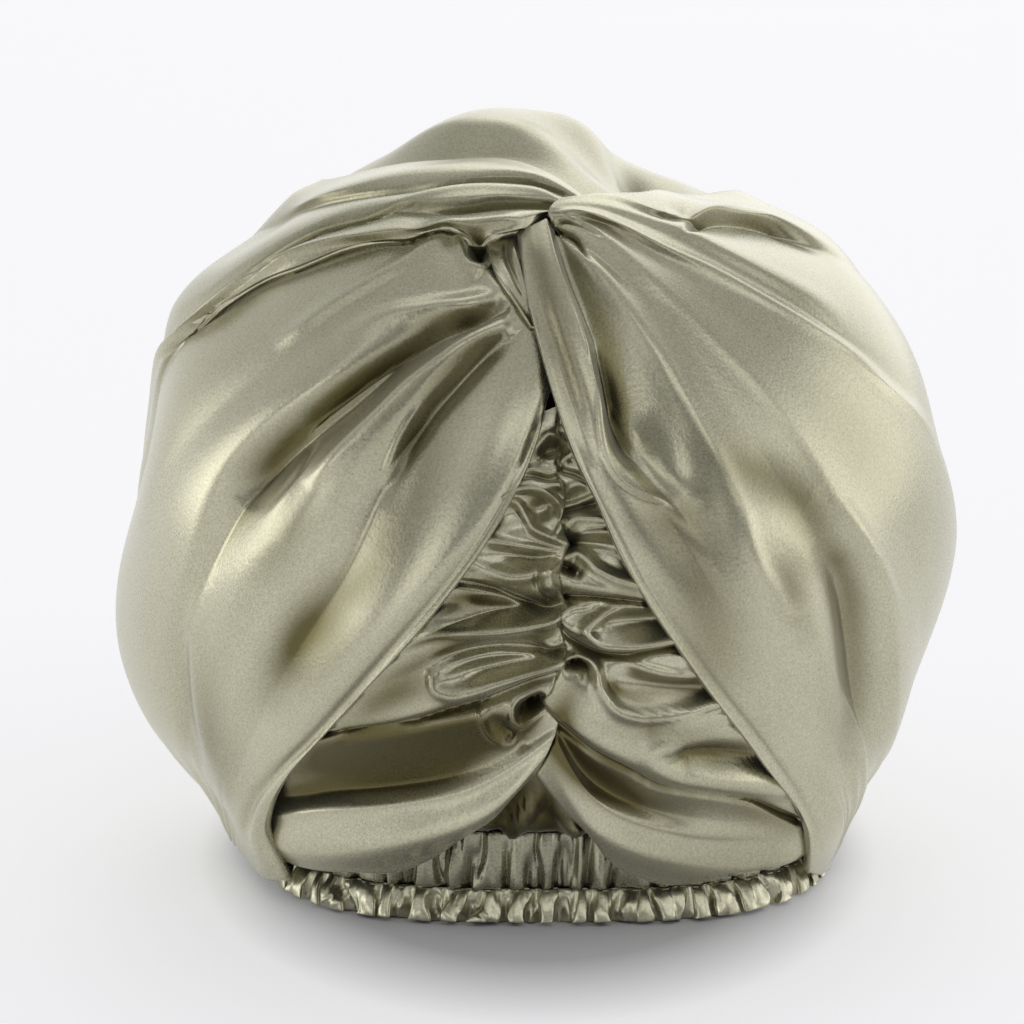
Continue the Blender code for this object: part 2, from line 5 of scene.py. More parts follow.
import bpy
import numpy as np
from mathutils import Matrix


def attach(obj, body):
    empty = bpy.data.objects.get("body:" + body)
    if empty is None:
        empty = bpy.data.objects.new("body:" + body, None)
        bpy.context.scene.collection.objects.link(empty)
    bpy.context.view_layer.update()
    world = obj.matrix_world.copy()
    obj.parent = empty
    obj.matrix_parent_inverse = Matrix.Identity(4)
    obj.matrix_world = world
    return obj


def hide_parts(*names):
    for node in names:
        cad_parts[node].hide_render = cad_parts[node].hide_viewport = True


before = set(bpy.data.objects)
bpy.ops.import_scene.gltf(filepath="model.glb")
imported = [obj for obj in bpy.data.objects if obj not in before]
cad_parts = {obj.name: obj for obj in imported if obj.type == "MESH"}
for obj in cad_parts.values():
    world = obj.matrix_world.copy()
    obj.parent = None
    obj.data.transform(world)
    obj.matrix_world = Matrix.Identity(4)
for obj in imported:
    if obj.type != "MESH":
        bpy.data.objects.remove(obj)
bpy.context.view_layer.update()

mm = 0.001

# the cap's form: close to a ball, with soft bumps and slack places, in metres and degrees
cap = {
    "halves": (0.1250, 0.1225, 0.1255),
    "middle": (0.0, 0.0, 0.0955),
    "rimSag": 0.0065,
    "rimSagAt": -48.0,
    "rimSagSpread": 7.0,
    "rim": -44.4,  # elevation of the wraps' lower edge
    "hemCorner": -40.0,  # and of its two front corners
}
Bump = namedtuple("Bump", "name azimuth elevation spread rise")  # degrees and mm
bodyBumps = (
    Bump("flat top at the right", 95, 72, 21, -13.0),
    Bump("full right shoulder", 90, 45, 12, 1.4),
    Bump("slack right side", 88, -23, 17, -6.0),
    Bump("slack upper right side", 90, 17, 10, -1.8),
    Bump("full top at the right", 114, 60, 8, 2.4),
    Bump("full top at the left", -112, 58, 7, 1.6),
    Bump("slack beside the puff", -75, 60, 14, -2.0),
    Bump("slack left shoulder", -92, 49, 9, -3.6),
    Bump("full left shoulder", -92, 33, 12, 2.6),
    Bump("left waist", -88, 12, 14, -6.0),
    Bump("full left side", -85, -17, 15, 5.0),
    Bump("slack above the left corner", -70, -36, 9, -2.5),
    Bump("left hem corner", -45, -41, 13, 7.3),
    Bump("right hem corner", 49, -40, 13, 7.0),
)
crownBumps = (
    Bump("puff", -140, 84, 18, 10.0),
    Bump("hollow right of the puff", 94, 72, 15, -12.0),
    Bump("puff's right end", 150, 75.5, 7.5, 6.5),
    Bump("step right of the puff", 128, 69, 6, -8.0),
    Bump("puff's left slope", -128, 70, 8, -1.6),
    Bump("hollow left of the puff", -108, 66, 12, -3.5),
)
twistHollow = (Bump("hollow under the twist", -2, 58, 10, -7.0),)

# the picture plane that folds are laid out on, and the camera that looks along it
view = {"distance": 1.60, "tilt": 13.0, "target": (-0.0075, 0.0, 0.1029), "step": 0.00030, "centre": 512.0}


def heading(azimuth, elevation):
    az, el = np.broadcast_arrays(np.radians(azimuth), np.radians(elevation))
    return np.stack([np.sin(az) * np.cos(el), -np.cos(az) * np.cos(el), np.sin(el)], -1)


def unit(vectors):
    return vectors / np.linalg.norm(vectors, axis=-1, keepdims=True)


def ramp(values, low, high):
    t = np.clip((values - low) / (high - low), 0, 1)
    return t * t * (3 - 2 * t)


def bumpsAt(ways, bumps):
    total = np.zeros(ways.shape[:-1])
    for bump in bumps:
        away = np.degrees(np.arccos(np.clip(ways @ heading(bump.azimuth, bump.elevation), -1, 1)))
        total += bump.rise * mm * np.exp(-((away / bump.spread) ** 2))
    return total


def bodyRadius(ways):
    ball = 1 / np.linalg.norm(ways / np.array(cap["halves"]), axis=-1)
    elevations = np.degrees(np.arcsin(np.clip(ways[..., 2], -1, 1)))
    sag = cap["rimSag"] * np.exp(-(((elevations - cap["rimSagAt"]) / cap["rimSagSpread"]) ** 2))
    return ball + sag + bumpsAt(ways, bodyBumps)


middle = np.array(cap["middle"])
tilt = math.radians(view["tilt"])
eyeUp = np.array([0.0, math.sin(tilt), math.cos(tilt)])
eyeForward = np.array([0.0, math.cos(tilt), -math.sin(tilt)])
eye = np.array(view["target"]) - eyeForward * view["distance"]


def seenAt(across, down, lift):
    # direction from the cap's middle to what is seen there, lift mm above the cap's form
    offset = np.array([across - view["centre"], 0, 0]) + eyeUp * (view["centre"] - down)
    ray = unit(eyeForward * view["distance"] + offset * view["step"])
    start = eye - middle
    nearest = start - ray * (start @ ray)
    radius = cap["halves"][0]
    for _ in range(8):
        direction = unit(nearest - ray * math.sqrt(max(radius**2 - nearest @ nearest, 0)))
        radius = float(bodyRadius(direction)) + lift * mm
    return direction


def pictureOf(points):
    # where points are seen on the picture plane, across and down
    away = points - eye
    scale = view["distance"] / view["step"] / (away @ eyeForward)
    return np.stack([view["centre"] + away[..., 0] * scale, view["centre"] - (away @ eyeUp) * scale], -1)


def hermite(at, stations, values):
    slopes = np.gradient(values, stations, axis=0)
    k = np.clip(np.searchsorted(stations, at, side="right") - 1, 0, len(stations) - 2)
    width = (stations[k + 1] - stations[k])[:, None]
    t = (at - stations[k])[:, None] / width
    return (
        (2 * t**3 - 3 * t**2 + 1) * values[k]
        + (t**3 - 2 * t**2 + t) * width * slopes[k]
        + (3 * t**2 - 2 * t**3) * values[k + 1]
        + (t**3 - t**2) * width * slopes[k + 1]
    )


def arcLength(points):
    steps = np.linalg.norm(np.diff(points, axis=0), axis=-1)
    return np.concatenate([np.zeros((1,) + steps.shape[1:]), np.cumsum(steps, axis=0)])


# folds: a line of knots from the twist, or from the front seam, outwards
# seen knots are (across, down, lift mm) on the picture plane, behind knots (azimuth, elevation, lift mm)
# crisp is 0 for a soft fold and 1 for a sharp one, columns are the mesh's columns up to the next fold
Fold = namedtuple("Fold", "name seen behind crisp columns", defaults=((), 0.0, 16))
# a crease is a ridge, or a valley where rise is below 0: knots are (across, down, share of rise),
# width is in picture steps, sides scale it left and right of the line
Crease = namedtuple("Crease", "name rise width knots sides", defaults=((1, 1),))
creasing = {
    "step": 1.5,  # picture steps between the samples of a crease's line
    "reach": 2.6,  # widths beyond which it lifts nothing
    "atOnce": 3000,  # points measured in one go
    "endSlack": 0.8,
    "seenFrom": 0.02,  # creases fade out where the form turns away from the eye
    "seenTo": 0.3,
}


steepest = 1.6  # slope of the lift at a fold that is crisp


def foldLine(fold, samples, crowding):
    knots = np.array([(*seenAt(*knot), knot[2]) for knot in fold.seen]
                     + [(*heading(*knot[:2]), knot[2]) for knot in fold.behind])
    stations = arcLength(knots[:, :3])
    fine = np.linspace(0, stations[-1], 40 * len(knots))
    curve = hermite(fine, stations, knots)
    length = arcLength(curve[:, :3])
    wanted = length[-1] * np.linspace(0, 1, samples) ** crowding
    curve = np.stack([np.interp(wanted, length, curve[:, column]) for column in range(4)], 1)
    return unit(curve[:, :3]), curve[:, 3] * mm


def loft(folds, samples, crowding):
    # grids of directions and lifts: level at a soft fold, steep at a crisp one
    lines = [foldLine(fold, samples, crowding) for fold in folds]
    ways, lifts = [], []
    for here, there, (wayA, liftA), (wayB, liftB) in zip(folds, folds[1:], lines, lines[1:]):
        last = there is folds[-1]
        stations = np.linspace(0, 1, here.columns + 1)[:None if last else -1]
        if here is folds[0]:
            stations = stations**1.6  # columns crowd towards the hem
        for t in stations:
            ways.append(unit(wayA + (wayB - wayA) * t))
            share = 3 * t**2 - 2 * t**3
            share += steepest * (here.crisp * (t**3 - 2 * t**2 + t) + there.crisp * (t**3 - t**2))
            lifts.append(liftA + (liftB - liftA) * share)
    return np.stack(ways, 1), np.stack(lifts, 1)


def creased(points, ways, creases):
    # raises the points by the creases that pass them, on the side that is seen
    flat = pictureOf(points).reshape(-1, 2)
    seen = ramp(np.sum(ways * unit(eye - points), -1), creasing["seenFrom"], creasing["seenTo"])
    lifts = np.zeros(len(flat))
    for crease in creases:
        knots = np.array([knot if len(knot) == 3 else (*knot, 1.0) for knot in crease.knots], float)
        stations = arcLength(knots[:, :2])
        curve = hermite(np.arange(0, stations[-1], creasing["step"]), stations, knots)
        along = unit(np.gradient(curve[:, :2], axis=0))
        reach = creasing["reach"] * crease.width * max(crease.sides)
        low, high = curve[:, :2].min(0) - reach, curve[:, :2].max(0) + reach
        near = np.flatnonzero(((flat > low) & (flat < high)).all(1))
        for part in np.array_split(near, max(1, len(near) // creasing["atOnce"])):
            offset = flat[part][:, None] - curve[None, :, :2]
            k = np.argmin(np.sum(offset**2, -1), 1)
            offset = offset[np.arange(len(part)), k]
            across = along[k, 0] * offset[:, 1] - along[k, 1] * offset[:, 0]
            past = np.maximum(np.abs(np.sum(offset * along[k], -1)) - creasing["endSlack"], 0)
            width = crease.width * np.where(across < 0, crease.sides[0], crease.sides[1])
            profile = np.exp(-(across**2 + past**2) / width**2) * np.clip(curve[k, 2], 0, 2)
            lifts[part] += crease.rise * mm * profile
    return points + ways * (lifts.reshape(seen.shape) * seen)[..., None]


# meshes
def inScene(name, data):
    made = bpy.data.objects.new(name, data)
    bpy.context.scene.collection.objects.link(made)
    return made


def newPiece(name, points, faces, uv, paintedShade):
    mesh = bpy.data.meshes.new(name)
    mesh.from_pydata(points.tolist(), [], faces)
    mesh.calc_loop_triangles()
    corners = np.empty(len(mesh.loop_triangles) * 3, np.int32)
    mesh.loop_triangles.foreach_get("vertices", corners)
    a, b, c = points[corners.reshape(-1, 3)].transpose(1, 0, 2)
    if np.sum(a * np.cross(b, c)) < 0:
        mesh.flip_normals()
    # painted shade, kept on each vertex for the satin to darken its colour by
    mesh.attributes.new("paintedShade", "FLOAT", "POINT").data.foreach_set("value", paintedShade.astype(np.float32))
    layer = mesh.uv_layers.new(name="cloth")
    wanted = np.empty(len(mesh.loops), np.int32)
    mesh.loops.foreach_get("vertex_index", wanted)
    layer.data.foreach_set("uv", uv[wanted].astype(np.float32).ravel())
    mesh.shade_smooth()
    return inScene(name, mesh)


def gridQuads(rows, columns, first, wrap):
    row = np.arange(rows - 1)[:, None] * columns
    here = np.arange(columns if wrap else columns - 1)[None, :]
    beside = (here + 1) % columns
    quads = np.stack([row + here, row + beside, row + columns + beside, row + columns + here], -1)
    return (quads.reshape(-1, 4) + first).tolist()


def widened(values, reaches, wrap):
    tall = np.pad(values, ((reaches[0],) * 2, (0, 0)), mode="edge")
    return np.pad(tall, ((0, 0), (reaches[1],) * 2), mode="wrap" if wrap else "edge")


def lowest(values, reach, wrap):
    # each value becomes the least one near it, so that the inner wall never shows through a fold
    values = widened(values, (reach, reach), wrap)
    for axis in (0, 1):
        values = np.lib.stride_tricks.sliding_window_view(values, 2 * reach + 1, axis=axis).min(-1)
    return values


def around(values, reaches, wrap):
    # the mean of the values near each one
    sums = np.cumsum(np.cumsum(np.pad(widened(values, reaches, wrap), ((1, 0), (1, 0))), 0), 1)
    high, wide = 2 * reaches[0] + 1, 2 * reaches[1] + 1
    inside = sums[high:, wide:] - sums[:-high, wide:] - sums[high:, :-wide] + sums[:-high, :-wide]
    return inside / (high * wide)


def facing(points):
    normals = unit(np.cross(np.gradient(points, axis=0), np.gradient(points, axis=1)) + 1e-12)
    return normals * np.sign(np.sum(normals * (points - middle), -1).mean())


# painted shade in the folds of the cloth, which darkens its colour, stored on each vertex: lengths in metres
foldShade = {
    "smoothing": 0.009,
    "mostCells": (60, 40),  # of the grid, for the smoothing and for the depths
    "slopes": (0.11, 0.62),  # how far a slope turns down: where its shade starts, and where it is full
    "slopeShare": 0.75,
    "depths": ((0.0075, 0.0022, 0.0085), (0.0015, 0.0003, 0.0015)),  # reach, where shade starts, where full
}


def paintedFoldShade(outer, wrap):
    # painted shade for each place, from how deep it lies below what is round it and how far its slope turns
    # down: 0 on ridges, 1 in a deep fold
    steps = [np.median(np.linalg.norm(np.diff(outer, axis=k), axis=-1)) for k in (0, 1)]

    def cells(length, most):
        return [int(min(max(2, round(length / step)), most)) for step in steps]

    def blurred(values, reaches):
        return around(around(values, reaches, wrap), reaches, wrap)

    wide = cells(foldShade["smoothing"], foldShade["mostCells"][0])
    mean = np.stack([blurred(outer[..., k], wide) for k in range(3)], -1)
    total = ramp(facing(mean)[..., 2] - facing(outer)[..., 2], *foldShade["slopes"]) * foldShade["slopeShare"]
    lift = np.linalg.norm(outer - middle, axis=-1) - bodyRadius(unit(outer - middle))
    for reach, low, high in foldShade["depths"]:
        depth = blurred(lift, cells(reach, foldShade["mostCells"][1])) - lift
        total = np.maximum(around(total, (2, 2), wrap), ramp(depth, low, high))
    return around(total, (1, 1), wrap)


def paintedShadeFrom(outer, strokes):
    # how much the named strokes of painted shade darken each place's colour: their rise is the share taken
    return np.linalg.norm(creased(outer, unit(outer - middle), strokes) - outer, axis=-1) / mm


def walled(name, outer, thickness, shade, wrap=False):
    # a closed wall: a fine outer face, a coarser inner one, and a strip between their borders
    coarser = 3  # the inner face takes every third row and column
    rows, columns = outer.shape[:2]
    rowStops = np.unique(np.append(np.arange(0, rows, coarser), rows - 1))
    columnStops = np.arange(0, columns, coarser)
    if not wrap:
        columnStops = np.unique(np.append(columnStops, columns - 1))
    inside = lowest(np.linalg.norm(outer - middle, axis=-1), coarser, wrap) - thickness
    inner = (middle + unit(outer - middle) * inside[..., None])[rowStops][:, columnStops]
    across = arcLength(outer[rows // 2])[None] * np.ones((rows, 1))
    uv = np.stack([arcLength(outer), across], -1)
    uv = np.concatenate([uv.reshape(-1, 2), uv[rowStops][:, columnStops].reshape(-1, 2)])
    count, innerCount = rows * columns, len(rowStops) * len(columnStops)
    faces = gridQuads(rows, columns, 0, wrap)
    faces += [face[::-1] for face in gridQuads(len(rowStops), len(columnStops), count, wrap)]
    outerIds = np.arange(count).reshape(rows, columns)
    innerIds = count + np.arange(innerCount).reshape(inner.shape[:2])
    if wrap:
        columnStops = np.append(columnStops, columns)
        outerIds = np.concatenate([outerIds, outerIds[:, :1]], 1)
        innerIds = np.concatenate([innerIds, innerIds[:, :1]], 1)
    borders = [(outerIds[k], innerIds[k], columnStops, turn) for k, turn in ((0, 1), (-1, -1))]
    if not wrap:
        borders += [(outerIds[:, k], innerIds[:, k], rowStops, turn) for k, turn in ((-1, 1), (0, -1))]
    for fine, coarse, stops, turn in borders:
        for k, (a, b) in enumerate(zip(stops, stops[1:])):
            strip = [(fine[j + 1], fine[j], coarse[k]) for j in range(a, b)]
            strip.append((fine[b], coarse[k], coarse[k + 1]))
            faces += [tuple(map(int, face[::turn])) for face in strip]
    # the painted shade of the folds and of the strokes (shade), given to the outer face only
    deep = np.clip(paintedFoldShade(outer, wrap) + shade, 0, 1)
    paintedShade = np.append(deep.ravel(), np.zeros(innerCount))
    return newPiece(name, np.concatenate([outer.reshape(-1, 3), inner.reshape(-1, 3)]), faces, uv, paintedShade)


def rolledEdges(outer, ways, edges):
    # the outer face curves down to its edges, so that a hem looks turned and not cut
    rolled = outer
    for edge, radius in edges:
        share = np.clip(1 - np.linalg.norm(outer - edge, axis=-1) / radius, 0, 1)
        rolled = rolled - ways * (radius * (1 - np.sqrt(1 - share**2)))[..., None]
    return rolled


# the rim, shared by the wraps' lower edge, the crown, the casing and the frill
rim = {
    "centreX": 0.0025,
    "halfWidth": 0.0808,
    "radius": 0.081,  # near enough to turn a length along the rim into an angle
    "front": 0.0820,
    "back": 0.0806,
    "frontSquareness": 3.0,
    "backSquareness": 2.3,
    "casingTop": 0.0272,
    "pleatRise": 0.0010,
    "frillTop": 0.0100,
    "gap": 0.0003,
    "seatHeight": 0.0118,
    "seatGap": 0.0011,
    "seatFrom": 39.5,  # degrees below the middle: between them a wrap starts to turn in to its seat
    "seatTo": 43.0,
    "allowance": 0.0015,
}


def rimPoint(azimuths, outset, height):
    way = np.stack([np.sin(azimuths), -np.cos(azimuths)], -1)
    inFront = way[..., 1] < 0
    power = np.where(inFront, rim["frontSquareness"], rim["backSquareness"])
    sideways = np.abs(way[..., 0]) / rim["halfWidth"]
    along = np.abs(way[..., 1]) / np.where(inFront, rim["front"], rim["back"])
    reach = (sideways**power + along**power) ** (-1 / power) + outset
    flat = way * reach[..., None] + np.array([rim["centreX"], 0])
    return np.concatenate([flat, np.full_like(flat[..., :1], height)], -1)


# the two wraps
wrap = {
    "rows": 290,
    "crowding": 1.15,  # rows are closer near the twist
    "wall": 0.0009,
    "hemRadius": 0.0012,
    "edgeRadius": 0.0010,
    "seatRows": 8,
    "gatherRise": 0.0007,
    "gathers": 26,
    "gathersLow": (0.38, 0.70),  # they fade in downwards, and away from the front corner
    "gathersBack": (0.16, 0.32),
}
rimEdge = cap["rim"]
hemCorner = cap["hemCorner"]

leftFolds = (
    Fold("hem", ((562, 366, -6), (549, 393, -2.5), (540, 430, -1), (520, 483, 0), (490, 537, 0.3),
        (445, 600, 0.5), (412, 640, 0.5), (363, 693, 0.5), (322, 738, 0.5), (289, 775, 0.5),
        (273, 803, 0.3), (267, 836, 0)),
        behind=((-46, hemCorner, 0),), columns=22),
    Fold("flap ridge", ((550, 345, -3.5), (505, 427, 0.6), (450, 543, 2.0), (372, 640, 2.6),
        (309, 718, 2.2), (260, 796, 1.2)),
        behind=((-65, rimEdge, 0),)),
    Fold("flap valley", ((540, 322, -4), (499, 343, -3.4), (445, 397, -4), (398, 460, -4), (352, 560, -3.5),
        (296, 650, -2), (243, 760, 0)),
        behind=((-60, -36, 0.5), (-72, rimEdge, 0)), crisp=0.6),
    Fold("second ridge", ((536, 310, -6), (473, 341, 0.3), (385, 421, 2.6), (300, 508, 2.5),
        (240, 640, 1.5), (225, 740, 1)),
        behind=((-66, -36, 0), (-79, rimEdge, 0))),
    Fold("deep valley", ((528, 300, -5), (475, 321, -3.6), (415, 356, -4.6), (355, 407, -6.5),
        (262, 484, -5.5), (210, 575, -2)),
        behind=((-60, -18, -0.5), (-74, -34, 0), (-87, rimEdge, 0)), crisp=0.7),
    Fold("third ridge", ((518, 284, -7.5), (500, 294, -5), (486, 300, -2.5), (470, 306, -0.6),
        (430, 309, 0), (330, 370, 1), (215, 470, 1.5), (175, 590, 1.5)),
        behind=((-70, -18, 1), (-84, -34, 0.5), (-97, rimEdge, 0))),
    Fold("side hollow", ((510, 262, -8.5), (493, 270, -6.5), (482, 276, -4), (464, 288, -2), (420, 288, -1),
        (350, 318, -1), (280, 358, -1.5), (170, 460, -0.5)),
        behind=((-76, -5, 0), (-92, -28, 0), (-109, rimEdge, 0)), columns=24),
    Fold("under the bands", ((547, 221, -8.5), (530, 231, -9), (507, 238, -9.5), (484, 241, -9),
        (466, 238, -4.5), (446, 233, -2.6), (414, 242, -2.6), (381, 244, -2.6), (342, 253, -3.5),
        (299, 270, -3), (263, 283, -3), (233, 301, -3), (205, 322, -2)),
        behind=((-88, 20, -1), (-104, -8, -0.5), (-118, -32, -0.5), (-124, rimEdge, 0)),
        crisp=1.0, columns=14),
    Fold("tube belly", ((550, 217, -4.5), (530, 226, -1.6), (507, 232, -1.2), (484, 235, -1.2),
        (466, 233, -1), (446, 229, -1), (414, 238, -1), (381, 240, -0.8), (342, 248, -0.6),
        (299, 265, -0.6), (263, 279, -0.6), (233, 297, -0.6), (203, 318, 0)),
        behind=((-89, 22, 0.5), (-107, -5, 0.5), (-122, -29, 0.2), (-128, rimEdge, 0)), columns=10),
    Fold("band 4", ((553, 211, -1.5), (530, 215, 0), (507, 220, 1), (476, 224, 1.3), (446, 225, 1.2),
        (417, 231, 1), (393, 231, 1), (355, 237, 1.5), (317, 244, 1.5), (279, 257, 2), (238, 282, 2),
        (199, 313, 2)),
        behind=((-92, 24, 2), (-112, 0, 1.5), (-128, -24, 0.5), (-134, rimEdge, 0)), columns=14),
    Fold("between 4 and 3", ((557, 206, -2.5), (520, 206, -2.4), (496, 207, -2.4), (457, 212, -2),
        (425, 213, -1.6), (400, 212, -1), (370, 220, -1), (325, 233, -1), (250, 277, -0.5), (185, 327, 0)),
        behind=((-98, 24, 0), (-122, 4, 0), (-138, -16, 0), (-142, -37, -1.5)), crisp=0.8, columns=14),
    Fold("band 2", ((566, 201, -1.5), (540, 196, -0.4), (506, 194, 0.4), (462, 196, 0.9), (412, 200, 1.2),
        (350, 210, 1.5), (250, 257, 2), (205, 289, 2)),
        behind=((-104, 30, 2), (-130, 14, 1), (-146, -6, 0), (-148, -28, -1.5)), columns=14),
    Fold("between 2 and 1", ((573, 199, -2.5), (540, 185, -2), (462, 181, -1), (417, 188, -1),
        (350, 197, -0.5), (272, 225, -0.5)),
        behind=((-112, 40, 0), (-136, 24, 0), (-150, 4, 0), (-151, -16, -1.5)), crisp=0.8, columns=14),
    Fold("band 1", ((580, 197, -1.5), (540, 175, 0), (462, 169, 0.5), (410, 173, 1), (350, 186, 1.5),
        (305, 202, 1.5)),
        behind=((-118, 49, 1.5), (-140, 32, 1), (-151, 14, 0), (-152, -6, -1.5)), columns=14),
    Fold("top edge", ((585, 196, -2), (562, 179, -1.2), (511, 158, -1), (462, 158, -1), (410, 161, -1),
        (385, 165, -1)),
        behind=((-104, 59, -1), (-128, 52, -1), (-146, 38, -1), (-153, 20, -1), (-154, 4, -1.5))),
)

leftCreases = (
    Crease("hem groove", -1.3, 5, ((552, 380, 0), (534, 430), (512, 482), (482, 535), (437, 596),
        (396, 644), (343, 705), (311, 740), (280, 770), (254, 802), (245, 828), (246, 850, 0.6))),
    Crease("hem tube", 1.2, 8, ((343, 712, 0), (312, 750), (283, 782), (262, 812), (257, 840),
        (264, 866, 0.6))),
    Crease("hem facet", -1.6, 6, ((547, 408, 0), (537, 432), (524, 466), (516, 486, 0)), sides=(1.4, 0.6)),
    Crease("step over band 1", -1.8, 2.2, ((563, 193, 0.6), (538, 183.6), (507, 180), (462, 181),
        (417, 188), (350, 198, 0.8), (300, 210, 0.4)), sides=(1, 0.7)),
    Crease("thin ridge under it", 0.7, 3, ((559, 199, 0), (545, 193), (507, 187), (462, 187), (420, 195),
        (380, 206, 0))),
    Crease("step over band 2", -2.0, 2.6, ((549, 205.6), (520, 205), (496, 206.5), (457, 211),
        (425, 214, 0)), sides=(1, 0.8)),
    Crease("long step 2", -2.0, 2.2, ((412, 202, 0), (370, 219), (325, 231), (280, 253), (250, 275),
        (220, 299), (190, 327), (166, 352, 0.6)), sides=(1, 0.7)),
    Crease("band 4 crest", 0.9, 5, ((520, 217, 0), (507, 219), (476, 222), (446, 224), (430, 228),
        (416, 232, 0.8), (393, 231, 0.6), (355, 237, 0.8), (317, 244), (279, 257), (238, 282), (205, 307),
        (180, 328, 0.6))),
    Crease("overlap", -2.0, 2.0, ((541, 220, 0.5), (515, 235), (484, 238), (466, 237), (446, 232),
        (414, 242), (381, 244), (342, 252.5), (299, 269.5), (263, 283), (233, 301), (210, 319), (189, 334),
        (163, 356, 0.7)), sides=(0.7, 1)),
    Crease("pucker", -7.0, 8, ((476, 240, 0.9), (477, 253, 0.9)), sides=(1, 0.9)),
    Crease("pucker lip", 1.6, 8, ((438, 238, 0), (450, 232, 0.5), (459, 238, 0.9), (463, 250), (470, 262),
        (482, 271), (494, 283), (506, 298, 0.8), (520, 318, 0.4)), sides=(1, 0.8)),
    Crease("shadow of the lip", -0.3, 12, ((452, 262, 0.5), (463, 280), (480, 292, 0.6))),
    Crease("bright line", 1.3, 6, ((449, 229, 0.3), (429, 245), (406, 264), (368, 285), (330, 308),
        (304, 328), (273, 348, 0)), sides=(0.8, 1.6)),
    Crease("broad ridge", 1.8, 10, ((505, 296, 0.6), (478, 303), (430, 310), (381, 318, 0.9),
        (350, 332, 0.4), (330, 340, 0))),
    Crease("deep valley floor", -3.6, 9, ((505, 309, 0.4), (475, 320), (445, 332), (419, 346), (381, 369),
        (342, 397), (317, 417, 0.7), (300, 432, 0)), sides=(0.55, 1.3)),
    Crease("dark pit", -3.4, 18, ((322, 408, 0), (285, 447, 0.8), (262, 474, 0.8), (238, 505, 0))),
    Crease("thin line", -1.0, 3.5, ((319, 440, 0), (309, 450), (293, 478), (268, 510, 0))),
    Crease("crest beside it", 0.9, 6, ((305, 462, 0), (282, 500), (262, 525, 0))),
    Crease("second ridge crest", 1.8, 8, ((500, 326, 0.5), (470, 340), (432, 366), (406, 386), (381, 411),
        (355, 436), (330, 462), (304, 488, 0))),
    Crease("flap valley floor", -2.2, 9, ((503, 341, 0.5), (478, 358), (452, 384), (432, 405), (419, 425),
        (406, 450, 0.7), (393, 486, 0.3), (386, 512, 0)), sides=(1.4, 0.55)),
    Crease("crest left of it", 1.6, 6, ((424, 402, 0), (413, 420), (401, 440), (391, 464), (381, 488, 0))),
    Crease("long soft hollow", -0.5, 22, ((372, 548, 0), (341, 596), (314, 632), (288, 660, 0))),
    Crease("side soft hollow", -1.3, 18, ((290, 548, 0), (264, 590), (240, 640), (222, 690, 0.5),
        (215, 730, 0))),
    Crease("side shade", -1.6, 8, ((186, 625, 0), (184, 680), (189, 730), (203, 775, 0.4))),
    Crease("side fold", 1.3, 9, ((210, 560, 0), (196, 620), (196, 690), (208, 752, 0.5), (228, 800, 0))),
)

